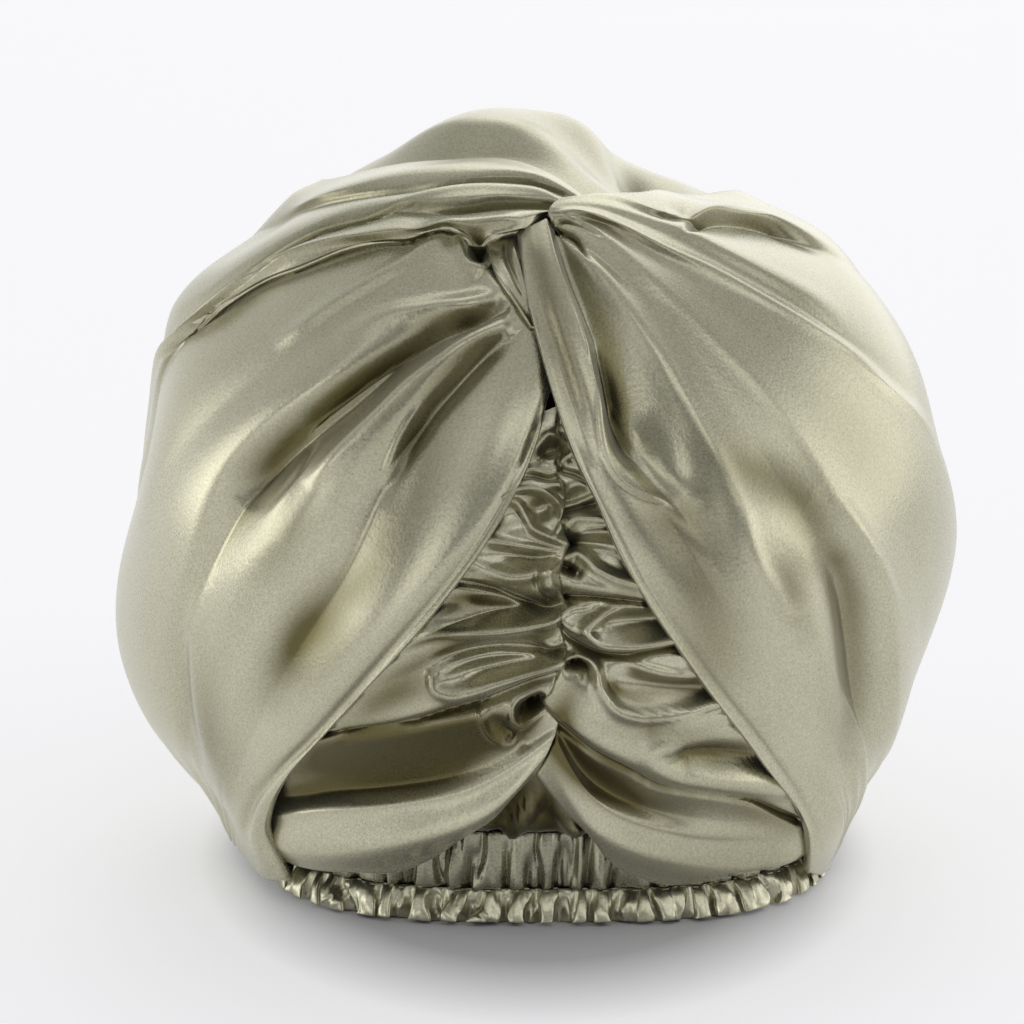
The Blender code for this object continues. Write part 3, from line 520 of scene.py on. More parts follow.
rightFolds = (
    Fold("hem", ((517, 233, -2.5), (521, 255, -0.5), (528, 300, 1), (540, 348, 1), (560, 416, 1),
        (576, 461, 0.8), (598, 505, 0.5), (620, 556, 0.5), (646, 601, 0.5), (698, 678, 0.5),
        (760, 760, 0.5), (808, 832, 0)),
        behind=((51, hemCorner, 0),), columns=26),
    Fold("strap", ((532, 225, -1.5), (547, 303, 3.5), (578, 400, 3.5), (622, 495, 2.5), (690, 610, 2),
        (745, 700, 1.5), (800, 790, 0.5)),
        behind=((64, rimEdge, 0),)),
    Fold("strap ridge", ((546, 218, -1.5), (561, 274, 3), (580, 322, 4), (600, 400, 3.5), (610, 445, 2.5),
        (662, 510, 1.2), (735, 625, 1.2), (790, 730, 0.8)),
        behind=((52, -30, 0.5), (69, rimEdge, 0)), crisp=0.5),
    Fold("strap valley", ((552, 228, -3.5), (572, 292, -4.5), (594, 345, -6), (609, 405, -7),
        (624, 445, -5.5), (690, 525, 0.8), (755, 635, 1.4)),
        behind=((45, -18, 0), (58, -33, 0), (74, rimEdge, 0)), crisp=0.5),
    Fold("third ridge", ((557, 237, -3), (592, 262, 1), (646, 333, 2.2), (697, 419, 2.2), (741, 505, 2.2),
        (774, 598, 2.0)),
        behind=((46, -12, 1.5), (63, -32, 0.5), (79, rimEdge, 0))),
    Fold("long valley", ((561, 232, -3), (608, 264, -0.6), (650, 302, 0.2), (700, 362, 1.3),
        (750, 432, 1.0), (800, 512, 0.1), (850, 609, -2.0)),
        behind=((53, -18, -1.5), (70, -34, -1), (86, rimEdge, 0)), crisp=0.3),
    Fold("second ridge", ((551, 220, -1), (585, 224, 0.5), (639, 265, 1.4), (735, 351, 1.1),
        (799, 431, 1.2), (858, 532, 1.9), (890, 612, 2)),
        behind=((60, -16, 2), (77, -33, 1), (94, rimEdge, 0)), crisp=0.3),
    Fold("side hollow", ((550, 216, 0), (592, 219, 0.4), (680, 274, 0.3), (770, 347, 0), (850, 432, 0),
        (900, 520, 0)),
        behind=((68, -8, -0.5), (85, -30, 0), (104, rimEdge, 0))),
    Fold("first ridge", ((548, 212, 1), (576, 211, 1.5), (608, 221, 1.4), (703, 269, 1.4), (799, 323, 1.4),
        (863, 368, 1.4), (926, 429, 1.4)),
        behind=((88, -4, 1.5), (106, -28, 0.5), (120, rimEdge, 0)), crisp=0.4),
    Fold("upper hollow", ((550, 207, 1.5), (600, 211, 1), (660, 232, 0.6), (730, 268, 0.6), (815, 318, 0.6),
        (880, 375, 0.6)),
        behind=((92, 8, 0), (114, -20, 0), (131, rimEdge, 0))),
    Fold("soft ridge", ((553, 203, 1.5), (600, 204, 1.5), (650, 218, 1.5), (719, 248, 1.5), (790, 288, 1.5),
        (845, 330, 1)),
        behind=((96, 20, 1), (122, -8, 0.5), (142, -39, -1.5))),
    Fold("crease", ((557, 200, 1.5), (610, 200, 1), (665, 220, -1), (715, 228, -3), (770, 232, -2.5),
        (820, 250, -1)),
        behind=((106, 32, -1), (132, 8, -0.5), (149, -24, -1.5)), crisp=0.7, columns=14),
    Fold("crease ridge", ((561, 198, 1.5), (620, 197, 1), (671, 214, 1), (716, 209, 1.5), (767, 216, 1.5)),
        behind=((104, 44, 1.5), (130, 28, 1.5), (149, 4, 0), (152, -12, -1.5)), columns=14),
    Fold("top edge", ((565, 197, 1), (590, 193, 0.5), (633, 191, 0.5), (659, 188, 0.5)),
        behind=((84, 68, 0), (112, 58, 0), (138, 42, 0), (152, 22, -1), (154, 4, -1.5))),
)

rightCreases = (
    Crease("strap hem roll", 0.6, 3, ((524, 283, 0), (531, 310), (545, 367), (560, 416), (598, 505),
        (646, 601), (698, 678), (760, 760), (806, 830, 0.8))),
    Crease("hem groove", -0.7, 4, ((604, 500, 0), (655, 596), (708, 674), (770, 755), (800, 800),
        (814, 828, 0.8))),
    Crease("strap hollow", -2.6, 9, ((532, 262, 0.3), (545, 310), (560, 357), (574, 400), (590, 445, 0.4),
        (600, 470, 0))),
    Crease("strap right edge", 1.2, 3.2, ((550, 222, 0.3), (556, 245, 0.8), (561, 266), (569, 290),
        (578, 314), (585, 337), (593, 357), (599, 378), (600, 402), (602, 429), (606, 453, 0.8),
        (617, 476, 0.9), (640, 493), (662, 500, 0.7), (676, 506, 0)), sides=(1.5, 0.9)),
    Crease("inner bright line", 1.6, 5, ((624, 420, 0), (628, 438, 0.7), (634, 455), (648, 474, 0.8),
        (664, 490, 0.4), (676, 500, 0))),
    Crease("pocket", -4.6, 7, ((592, 345, 0), (603, 372, 0.6), (611, 400), (614, 425), (620, 445, 0.8),
        (634, 470, 0))),
    Crease("soft pit", -2.2, 18, ((655, 400, 0), (668, 440, 0.7), (678, 478), (690, 492, 0.4))),
    Crease("third fold top", -2.1, 2.4, ((557, 234, 0.6), (568, 235), (577, 241), (583, 251, 0.7),
        (592, 264, 0)), sides=(1, 0.7)),
    Crease("third ridge crest", 0.9, 9, ((572, 245, 0), (590, 262), (616, 293), (639, 323), (658, 350),
        (682, 397), (705, 438), (726, 473), (741, 508), (752, 547), (764, 576), (780, 600, 0.3))),
    Crease("second fold top", -2.1, 2.2, ((554, 225, 0.5), (563, 220.5), (580, 223.5), (591, 229, 0.7),
        (604, 238, 0))),
    Crease("second ridge crest", 0.4, 7, ((562, 226, 0), (580, 227, 0.6), (600, 236), (617, 246),
        (647, 275), (682, 307), (720, 345), (755, 380), (782, 412), (802, 438), (821, 468), (841, 503),
        (862, 538), (881, 576), (896, 620, 0.8), (896, 660, 0.6), (890, 710, 0.3))),
    Crease("valley under it", -0.25, 9, ((568, 240, 0.4), (591, 254), (610, 275), (630, 299), (655, 332),
        (680, 364, 0.5), (700, 395, 0))),
    Crease("first ridge line", 0.8, 4, ((556, 219, 0.4), (568, 214), (582, 213), (599, 216), (620, 226),
        (649, 241), (668, 250), (705, 266), (764, 298), (808, 324), (852, 353), (890, 388), (917, 413),
        (936, 436, 0.5)), sides=(1.3, 0.9)),
    Crease("below the first ridge", -0.5, 8, ((575, 218, 0.3), (600, 225), (640, 246), (700, 276),
        (760, 308, 0.6), (830, 350, 0))),
    Crease("minor ridge", 1.0, 5, ((843, 497, 0), (867, 538), (890, 585, 0.7), (900, 610, 0))),
    Crease("cross hollow", -0.9, 26, ((712, 470, 0), (745, 476), (790, 482, 0.7), (815, 492, 0))),
    Crease("notch", -0.6, 10, ((772, 556, 0), (782, 584), (790, 603), (797, 618, 0)), sides=(1.3, 0.6)),
    Crease("arc above the notch", 0.5, 9, ((776, 528, 0), (794, 543, 0.6), (806, 560), (812, 582),
        (818, 622), (826, 682), (830, 740, 0.8), (828, 800, 0.4))),
    Crease("valley beside it", -4.0, 15, ((826, 540, 0), (842, 576, 0.6), (852, 612), (856, 650),
        (856, 692, 0.8), (850, 750, 0))),
    Crease("crease rim", 1.3, 5, ((668, 217, 0.3), (690, 222), (704, 212), (723, 208), (749, 209),
        (779, 220), (808, 235), (838, 251, 0.4)), sides=(1.2, 0.8)),
    Crease("crease floor", -1.9, 4, ((680, 230, 0), (695, 228), (711, 223), (735, 222), (758, 226),
        (782, 236), (811, 248, 0.5), (828, 256, 0))),
    Crease("crease pocket", -2.0, 8, ((676, 208, 0.6), (688, 212), (697, 214, 0.4))),
    Crease("soft line below", 0.9, 9, ((655, 214, 0), (690, 233), (720, 250), (764, 272), (808, 295),
        (850, 322, 0))),
)


def onForm(ways, lifts):
    return middle + ways * (bodyRadius(ways) + lifts)[..., None]


def sewnToRim(outer):
    # rows that turn the wrap's lower edge in onto the casing, where it reaches that low
    way = unit(outer[-1] - middle)
    below = np.degrees(np.arcsin(-way[:, 2]))
    atRim = ramp(below, rim["seatFrom"], rim["seatTo"])[:, None]
    azimuths = np.arctan2(outer[-1][:, 0] - rim["centreX"], -outer[-1][:, 1])
    seat = rimPoint(azimuths, rim["pleatRise"] + rim["seatGap"] + wrap["wall"], rim["seatHeight"])
    onwards = unit(outer[-1] - outer[-3]) * rim["allowance"]
    reach = onwards + (seat - outer[-1] - onwards) * atRim
    shares = np.linspace(0, 1, wrap["seatRows"] + 1)[1:, None, None]
    turned = outer[-1] + reach * shares + onwards * 3 * atRim * shares * (1 - shares) ** 2
    return np.concatenate([outer, turned])


def wrapSheet(name, folds, creases, shades, seed):
    ways, lifts = loft(folds, wrap["rows"], wrap["crowding"])
    outer = onForm(ways, lifts)
    # small gathers rise from the rim, away from the two front corners
    place = np.linspace(0, 1, outer.shape[1])
    drift = np.sin(place * 17 + seed) + 0.6 * np.sin(place * 41 + 2 * seed)
    gathers = np.cos(place * wrap["gathers"] * 2 * math.pi + drift)
    low = ramp(-ways[..., 2], *wrap["gathersLow"]) * ramp(place, *wrap["gathersBack"])[None]
    outer = outer + ways * (wrap["gatherRise"] * gathers * low)[..., None]
    outer = creased(outer, ways, creases)
    edges = ((outer[:, :1], wrap["hemRadius"]), (outer[:, -1:], wrap["edgeRadius"]))
    outer = sewnToRim(rolledEdges(outer, ways, edges))
    return walled(name, outer, wrap["wall"], paintedShadeFrom(outer, shades)), ways


# the fold caught under the strap
tuck = {"rows": 60, "wall": 0.0008, "edgeRadius": 0.0006}
tuckFolds = (
    Fold("under the strap", ((528, 236, -6), (538, 286, -3.5), (548, 335, -3)), columns=10),
    Fold("middle", ((508, 238, -6), (520, 284, -2.5), (540, 330, -2.5)), columns=10),
    Fold("fold ridge", ((494, 241, -6), (507, 286, -2.5), (532, 327, -2.5)), columns=10),
    Fold("outer edge", ((485, 244, -6), (500, 285, -3.4), (528, 329, -3.4)), columns=10),
)
tuckCreases = (
    Crease("second fold", 1.6, 4, ((514, 238, 0), (513, 250), (518, 264, 0.6), (526, 285, 0))),
    Crease("line between", -1.4, 3, ((506, 240, 0), (507, 256), (515, 276), (526, 300, 0))),
    Crease("outer crest", 1.0, 3.4, ((486, 248, 0.5), (489, 264), (500, 281), (512, 300), (528, 324, 0.5))),
)

# the two ruched panels
panel = {"rows": 190, "wall": 0.0009, "edgeRadius": 0.0022, "seamRadius": 0.0016}
panelLeftFolds = (
    Fold("top", ((562, 404, -4.5), (543, 412, -5), (528, 420, -4.5))),
    Fold("pinch 1", ((559, 432, -5), (536, 437, -4), (509, 452, -3.5))),
    Fold("valley 1", ((561, 452, -9), (530, 462, -6), (492, 482, -3)), crisp=0.5),
    Fold("pinch 2", ((561, 476, -4.5), (524, 485, -3.2), (472, 514, -2.5))),
    Fold("valley 2", ((567, 500, -9), (515, 512, -4.5), (452, 544, -2.5)), crisp=0.5),
    Fold("loop ridge", ((560, 521, -4.5), (520, 530, -3), (432, 572, -2))),
    Fold("valley 3", ((569, 544, -7), (505, 560, -4), (412, 600, -2)), crisp=0.5),
    Fold("bead ridge", ((559, 576, -4), (505, 588, -2.5), (386, 632, -2))),
    Fold("valley 4", ((565, 601, -9), (490, 612, -5.5), (361, 661, -2)), crisp=0.5),
    Fold("long ridge", ((560, 622, -4.5), (480, 634, -2.2), (339, 686, -2))),
    Fold("valley 5", ((567, 647, -9), (470, 656, -4.5), (318, 709, -2)), crisp=0.5),
    Fold("oval ridge", ((565, 668, -4.5), (460, 688, -2.5), (300, 731, -2))),
    Fold("brow", ((544, 700, -8), (500, 716, -4), (450, 722, -2.5), (330, 738, -1), (272, 752, -2)),
        crisp=0.9),
    Fold("dark valley", ((560, 722, -6), (505, 754, -8), (450, 775, -10), (390, 785, -10.5), (330, 789, -9),
        (262, 797, -5))),
    Fold("flap crest", ((556, 737, -4.5), (480, 786, -4.6), (390, 805, -4.6), (320, 811, -4.2),
        (258, 814, -4)), columns=20),
    Fold("flap belly", ((549, 752, -4), (485, 818, 0.8), (390, 849, 2.2)), ((-52, -36, -2.8),), columns=20),
    Fold("flap edge", ((537, 774, -4.5), (513, 799, -4), (496, 820, -3.5), (461, 844, -3), (430, 864, -2.5),
        (395, 877, -2), (348, 889, -1.5)), ((-47, -39, -3),)),
)
panelLeftCreases = (
    Crease("pinch a", 2.6, 4, ((560, 437, 0.6), (549, 436), (540, 445, 0.5), (533, 454, 0))),
    Crease("pinch b", 2.6, 3.5, ((561, 455, 0.8), (551, 462), (543, 459, 0.5), (538, 452, 0))),
    Crease("pinch hollow", -2.9, 4, ((556, 447, 0.8), (546, 450), (538, 462, 0))),
    Crease("dark line 1", -2.6, 3.5, ((563, 473, 0.9), (551, 478), (530, 475), (516, 480, 0))),
    Crease("ridge 1", 2.1, 4.5, ((566, 500, 0.5), (563, 488, 0.9), (547, 485), (527, 481, 0.8),
        (505, 484, 0))),
    Crease("loop upper ridge", 3.2, 4, ((556, 534, 0.6), (563, 521, 0.9), (562, 511), (551, 497),
        (539, 491), (522, 490), (505, 496, 0.5), (490, 508, 0)), sides=(0.8, 1.1)),
    Crease("loop hollow", -2.6, 11, ((548, 508, 0.6), (540, 514), (533, 520, 0.6))),
    Crease("loop lower ridge", 3.5, 4.5, ((568, 543, 0.9), (556, 540), (547, 536), (533, 528), (526, 516),
        (515, 502, 0.8), (500, 500, 0.3), (485, 512, 0))),
    Crease("second fold ridge", 1.9, 5, ((566, 547, 0.6), (553, 550), (531, 548), (502, 543),
        (484, 540, 0.6), (465, 545, 0))),
    Crease("second fold hollow", -2.1, 6, ((556, 558, 0.5), (531, 558), (505, 553, 0.7), (480, 552, 0))),
    Crease("second fold belly", 2.9, 7, ((562, 553, 0.4), (552, 565, 0.9), (533, 574), (512, 576),
        (492, 571, 0.9), (468, 563, 0.5), (445, 562, 0))),
    Crease("dark line 2", -3.2, 4, ((561, 606), (551, 610), (522, 601), (492, 589), (465, 583, 0.6),
        (440, 582, 0))),
    Crease("bead", 4.2, 9, ((549, 573), (549, 585))),
    Crease("bead rim", -1.6, 3, ((537, 570, 0.6), (536, 580), (540, 592, 0.7), (548, 598, 0.5))),
    Crease("broad dark", -2.6, 11, ((545, 611, 0.6), (510, 606), (470, 604), (435, 606, 0.6),
        (410, 612, 0))),
    Crease("third ridge", 3.5, 7, ((568, 607, 0.8), (555, 618), (533, 625), (502, 630), (461, 631),
        (431, 634, 0.8), (405, 645, 0.4), (390, 655, 0)), sides=(0.9, 1.2)),
    Crease("dark line 3", -3.0, 5, ((562, 650), (551, 651), (527, 647), (492, 647), (461, 652, 0.7),
        (430, 660, 0))),
    Crease("little tuck", 2.6, 4, ((564, 639, 0.8), (553, 645), (541, 646, 0))),
    Crease("oval top", 1.8, 7, ((560, 656, 0.3), (530, 652, 0.6), (497, 651, 0.8), (470, 657),
        (447, 668, 0.9))),
    Crease("oval hollow", -2.9, 10, ((535, 662, 0.5), (505, 668), (475, 674, 0.9), (462, 678, 0.4))),
    Crease("oval bottom", 3.5, 8, ((566, 655, 0.8), (555, 663), (531, 671), (498, 681), (471, 690),
        (451, 693), (436, 686, 0.9), (434, 676, 0.7))),
    Crease("under the oval", -3.5, 6, ((556, 675, 0.8), (531, 684), (510, 693), (482, 704, 0.9),
        (442, 716, 0.7), (400, 726, 0.5), (345, 734, 0.4))),
    Crease("crisp line", -2.2, 2.6, ((484, 704, 0.7), (442, 716), (419, 723), (372, 731), (331, 735),
        (300, 737))),
    Crease("tuck side", 1.9, 3.5, ((481, 700, 0.6), (481, 716), (487, 732), (497, 742, 0.5),
        (505, 745, 0))),
    Crease("tuck lip", 3.2, 4.5, ((512, 708, 0.4), (513, 716), (521, 723), (534, 716, 0.8),
        (543, 709, 0.4))),
    Crease("tuck hole", -6.4, 6, ((540, 702), (532, 706), (524, 709, 0.6))),
    Crease("tuck shade", -2.2, 6, ((495, 722, 0.5), (510, 735), (520, 742, 0.5))),
    Crease("tuck point", 1.9, 3, ((505, 745, 0.3), (514, 741), (520, 731, 0.4))),
    Crease("seam knot", 3.2, 5, ((556, 690, 0.8), (549, 696), (541, 700, 0.5))),
    Crease("flap roll", 0.5, 20, ((556, 742, 0), (522, 762, 0.5), (485, 785, 0.8), (435, 804), (380, 814),
        (320, 818), (270, 822, 0.5))),
    Crease("flap underside", -0.5, 14, ((500, 812, 0.4), (460, 836), (410, 858), (350, 872),
        (290, 876, 0.8))),
)
panelRightFolds = (
    Fold("top", ((558, 404, -5.3), (573, 410, -5.5), (582, 416, -5))),
    Fold("pinch 1", ((555, 432, -5.8), (576, 438, -4.5), (592, 446, -4))),
    Fold("valley 1", ((557, 452, -9.8), (582, 460, -5.5), (603, 472, -3.5)), crisp=0.5),
    Fold("pinch 2", ((557, 476, -5.3), (591, 484, -3.5), (616, 498, -3))),
    Fold("valley 2", ((563, 500, -9.8), (602, 508, -5), (634, 526, -3)), crisp=0.5),
    Fold("loop ridge", ((556, 521, -5.3), (608, 532, -3), (648, 552, -2.5))),
    Fold("valley 3", ((565, 544, -9.8), (612, 556, -4.5), (662, 580, -2)), crisp=0.5),
    Fold("bead ridge", ((555, 576, -4.8), (620, 584, -2.5), (680, 604, -2))),
    Fold("valley 4", ((561, 601, -9.8), (625, 608, -4.5), (698, 630, -2)), crisp=0.5),
    Fold("long ridge", ((556, 626, -5.3), (640, 642, -2), (716, 660, -2))),
    Fold("valley 5", ((563, 649, -9.8), (650, 662, -4.5), (734, 690, -2)), crisp=0.5),
    Fold("ring ridge", ((561, 670, -5.3), (655, 702, -2), (752, 716, -2))),
    Fold("brow", ((540, 700, -8), (566, 722, -3.5), (602, 746, -2.5), (688, 780, -2), (800, 790, -2.5)),
        crisp=0.8),
    Fold("dark valley", ((556, 728, -6.5), (588, 778, -9), (640, 806, -8), (700, 818, -5.5)),
        ((51, -31, -3),)),
    Fold("flap crest", ((554, 742, -5.2), (600, 804, -5), (680, 834, -4)), ((52, -33, -2.8),), columns=20),
    Fold("flap belly", ((546, 756, -4.8), (596, 834, -0.8), (640, 858, 1.2), (690, 869, 1.4)),
        ((53, -37, -2.8),), columns=20),
    Fold("flap edge", ((533, 775, -5.3), (563, 812, -4), (586, 836, -3), (618, 872, -2.5), (655, 887, -1.5),
        (701, 894, -1), (747, 891, -1)), ((51, -38.5, -3),)),
)
panelRightCreases = (
    Crease("pinch a", 2.2, 4, ((562, 430, 0.6), (570, 436), (580, 432, 0.5), (588, 436, 0))),
    Crease("pinch b", 2.6, 4, ((563, 460, 0.8), (572, 455), (584, 461, 0.7), (598, 466, 0))),
    Crease("dark line 1", -2.6, 3.5, ((564, 470, 0.9), (578, 474), (590, 482, 0.7), (604, 488, 0))),
    Crease("ridge 1", 2.2, 4.5, ((564, 500, 0.5), (570, 488, 0.8), (580, 484, 0.7), (596, 492, 0))),
    Crease("ridge 2", 2.4, 4, ((563, 508, 0.5), (571, 506), (584, 502), (597, 495, 0.8), (608, 492, 0))),
    Crease("dark line 2", -2.9, 3, ((561, 513), (569, 510), (583, 506, 0.9), (598, 502, 0.8),
        (612, 500, 0))),
    Crease("ridge 3", 2.2, 5, ((568, 525, 0.5), (574, 519), (590, 518), (606, 519, 0.9), (625, 522, 0.3))),
    Crease("thin ridge", 1.6, 2.6, ((576, 538, 0), (584, 534), (597, 532), (611, 532, 0.9),
        (625, 535, 0.3))),
    Crease("valley 3 floor", -2.6, 6, ((562, 546, 0.8), (577, 542), (604, 544, 0.9), (625, 550, 0.3))),
    Crease("fold end", 3.2, 6, ((562, 562, 0.5), (567, 555, 0.8), (575, 552), (584, 557), (594, 567),
        (614, 578, 0.9), (637, 584, 0.8), (660, 588, 0.3))),
    Crease("pinched pit", -5.1, 5, ((564, 567), (570, 570), (578, 574, 0.4))),
    Crease("belly", 1.9, 9, ((574, 586, 0.6), (600, 590), (630, 594, 0.8), (655, 600, 0.3))),
    Crease("dark line 4", -3.0, 3, ((560, 597), (576, 596), (594, 597), (625, 600), (648, 603, 0.8),
        (670, 606, 0.3))),
    Crease("loop ridge", 3.2, 6.5, ((640, 605, 0.4), (620, 606, 0.9), (600, 616), (586, 630), (596, 643),
        (625, 647), (655, 643), (678, 638, 0.9), (700, 640, 0.4))),
    Crease("loop hollow", -3.5, 11, ((612, 626, 0.7), (635, 624), (662, 622, 0.9), (690, 624, 0.4))),
    Crease("seam fold", 2.6, 5, ((562, 612, 0.6), (572, 606, 0.8), (588, 604, 0.6), (600, 602, 0))),
    Crease("dark line 5", -3.5, 4, ((556, 625, 0.8), (573, 641), (594, 651), (616, 655), (655, 651),
        (680, 649, 0.9), (705, 652, 0.5))),
    Crease("ridge 6", 2.4, 8, ((616, 658, 0.2), (630, 660, 0.7), (648, 668), (675, 674), (700, 676, 0.7),
        (725, 682, 0.3))),
    Crease("ring", 3.7, 5.5, ((561, 664, 0.5), (566, 657, 0.8), (576, 653), (588, 657), (596, 668),
        (599, 682), (605, 694), (616, 706), (634, 713), (655, 714), (686, 709), (712, 701, 0.9),
        (735, 698, 0.4)), sides=(0.9, 1.4)),
    Crease("ring pit", -5.4, 7, ((570, 666, 0.7), (577, 664), (584, 667, 0.8), (588, 676, 0.4))),
    Crease("dark interior", -3.2, 12, ((620, 684, 0.7), (645, 688), (672, 690, 0.9), (705, 688, 0.5))),
    Crease("light flat", 1.3, 14, ((575, 694, 0.6), (600, 714), (640, 732, 0.5))),
    Crease("upper fold tip", 2.8, 11, ((740, 731, 0.5), (701, 733, 0.9), (668, 744), (648, 757), (666, 770),
        (701, 777), (747, 782, 0.9), (780, 787, 0.6))),
    Crease("fold hollow", -3.2, 12, ((690, 754, 0.6), (714, 756), (745, 758, 0.9), (770, 762, 0.6))),
    Crease("under line", 2.2, 5, ((650, 731, 0), (687, 722), (724, 713, 0.8), (745, 708, 0.3))),
    Crease("crisp line", -2.6, 3.0, ((548, 716, 0.5), (563, 729), (597, 755), (632, 773), (659, 787),
        (689, 792), (724, 796), (754, 802), (783, 815), (800, 822, 0.8))),
    Crease("edge of the fold", 0.5, 12, ((560, 720, 0.4), (600, 748), (634, 765), (662, 779), (692, 785),
        (730, 789), (770, 800, 0.6))),
    Crease("dark belly", -0.8, 16, ((558, 742, 0.5), (583, 768, 0.8), (616, 792), (655, 806, 0.9),
        (700, 812, 0.6), (740, 815, 0.2))),
    Crease("lower roll", 0.4, 18, ((545, 761, 0.5), (563, 780), (597, 804), (632, 822), (670, 832),
        (720, 838, 0.8), (770, 844, 0.4))),
    Crease("underside", -0.8, 12, ((586, 818, 0.4), (615, 843), (650, 862), (700, 868), (760, 866, 0.6))),
)


# painted shade, in and under the folds: share taken, width in pixels, path
leftShades = (
    Crease("under the bands", 0.3, 5, ((541, 222, 0.5), (515, 237), (484, 241), (466, 240, 0.5))),
    Crease("soft dark side", 0.62, 24, ((400, 512, 0.2), (374, 565, 0.9), (337, 608), (300, 650),
        (278, 690, 0.3))),
    Crease("soft dark side below", 0.5, 18, ((330, 588, 0.4), (303, 622), (284, 662, 0.8),
        (272, 700, 0.2))),
    Crease("deep valley", 0.55, 13, ((430, 348, 0.4), (378, 376), (332, 410), (292, 448), (260, 484, 0.8),
        (230, 522, 0))),
    Crease("below the deep valley", 0.33, 20, ((322, 498, 0.2), (296, 526), (270, 560, 0.7),
        (255, 590, 0))),
    Crease("low side", 0.42, 20, ((205, 640, 0.2), (207, 695, 0.7), (211, 745), (222, 790, 0.5))),
    Crease("low on the crest", 0.3, 18, ((356, 612, 0), (334, 645), (312, 676, 0.4), (300, 700, 0))),
    Crease("right of the crest", 0.3, 22, ((452, 425, 0.3), (420, 480), (395, 530, 0.6), (380, 560, 0))),
)
rightShades = (
    Crease("strap", 0.58, 12, ((534, 228, 0.8), (540, 262), (553, 310), (566, 360), (580, 405, 0.6),
        (590, 430, 0))),
    Crease("broad dark", 0.6, 40, ((662, 510, 0.3), (690, 555, 0.9), (706, 610), (716, 660, 0.8),
        (735, 710, 0.2))),
    Crease("under the hook", 0.4, 22, ((640, 522, 0.6), (672, 518), (702, 505, 0.6))),
    Crease("cross dark", 0.75, 23, ((712, 440, 0.3), (740, 462, 0.9), (775, 482), (808, 510),
        (822, 556, 0.6))),
    Crease("pocket by the notch", 0.6, 15, ((776, 552, 0.4), (788, 578, 0.9), (796, 604, 0.8),
        (806, 632, 0.3))),
    Crease("valley by the arc", 0.6, 18, ((840, 565, 0.6), (850, 605), (853, 650), (852, 700, 0.9),
        (846, 748, 0.4))),
    Crease("full side", 0.3, 36, ((830, 400, 0.5), (866, 450), (884, 510, 0.5))),
    Crease("inside the hook", 0.45, 13, ((640, 412, 0.2), (648, 440), (656, 458, 0.4))),
)
panelLeftShades = (
    Crease("under the oval", 0.9, 16, ((500, 722, 0.5), (462, 728), (420, 736), (370, 742),
        (320, 746, 0.5))),
    Crease("left of the oval", 0.62, 15, ((438, 684, 0.5), (408, 692), (378, 704), (350, 718, 0.5))),
    Crease("under the hem", 0.5, 18, ((440, 646, 0.9), (405, 672), (372, 694, 0.5))),
    Crease("by the hem", 0.5, 9, ((450, 606, 0.9), (468, 594, 0.5))),
    Crease("by the seam", 0.4, 12, ((537, 676, 0.6), (530, 700), (527, 728, 0.8))),
    Crease("under the brow", 1.0, 22, ((522, 724, 0.4), (482, 744), (428, 758), (350, 765),
        (285, 770, 0.8))),
    Crease("valley line", 0.85, 10, ((500, 760, 0), (475, 768, 0.3), (445, 776), (390, 785), (330, 789),
        (272, 796, 0.8))),
    Crease("broad dark", 0.5, 16, ((500, 606, 0.4), (465, 608), (440, 612, 0.5))),
)
panelRightShades = (
    Crease("under the crisp line", 1.0, 21, ((550, 732), (572, 764), (608, 784), (640, 802, 0.6),
        (680, 814, 0.3))),
    Crease("by the seam", 0.7, 15, ((576, 684, 0.6), (566, 706), (560, 730, 0.8))),
    Crease("valley line", 0.8, 10, ((560, 738, 0.8), (588, 776, 0.8), (635, 803, 0.5), (690, 816, 0.2))),
    Crease("inside the ring", 0.5, 9, ((606, 674, 0.3), (614, 687), (634, 694), (662, 694, 0.6),
        (700, 690, 0.4))),
    Crease("above the low fold", 0.35, 16, ((636, 714, 0.4), (668, 732), (700, 744, 0.5))),
    Crease("tip of the flap", 0.6, 13, ((715, 808, 0.4), (750, 812), (790, 824, 0.8))),
    Crease("belly of the flap", 0.28, 24, ((640, 852, 0.5), (700, 858), (770, 852, 0.9))),
)
crownCreases = (
    Crease("middle fold", 4.0, 7, ((538, 770, 0.3), (535, 796), (524, 816), (512, 832, 0.8))),
    Crease("right fold", 3.5, 8, ((548, 778, 0.3), (558, 804), (574, 830, 0.8))),
    Crease("left hollow", -3.0, 6, ((528, 786, 0.4), (514, 808), (500, 828, 0.7))),
)


def smallSheet(name, size, folds, creases, shades=()):
    ways, lifts = loft(folds, size["rows"], 1.0)
    outer = creased(onForm(ways, lifts), ways, creases)
    edges = [(outer[:, -1:], size["edgeRadius"])]
    if "seamRadius" in size:
        edges.append((outer[:1], size["seamRadius"]))
    outer = rolledEdges(outer, ways, edges)
    return walled(name, outer, size["wall"], paintedShadeFrom(outer, shades))


# the crown
crown = {
    "around": 300,
    "rows": 120,
    "seatRows": 14,
    "lowest": -34.0,
    "bottom": 0.0276,
    "outset": 0.0006,
    "turn": (0.25, 0.25, 0.62),
    "wall": 0.0010,
    "covered": -14.5,  # lifts in mm: under the wraps, at their edges, and where the crown shows
    "atEdges": -4.2,
    "bare": -1.4,
    "bareFrom": (1.5, 9),  # degrees outside and inside the wraps' edges where those take over
    "coveredFrom": (0.5, 7),
    "rearEdge": -40.0,
    "gathers": 34,
    "gatherRise": 2.3,
    "gathersLow": (-0.2, 0.55),
    "folds": 12,
    "foldRise": 1.8,
    "foldsLow": (-0.75, 0.5),
    "tongueFolds": 46,  # soft upright folds below, seen between the two flaps
    "tongueRise": 0.0012,
    # share of painted shade on the crown where the wraps cover it
    "shade": 0.75,
}


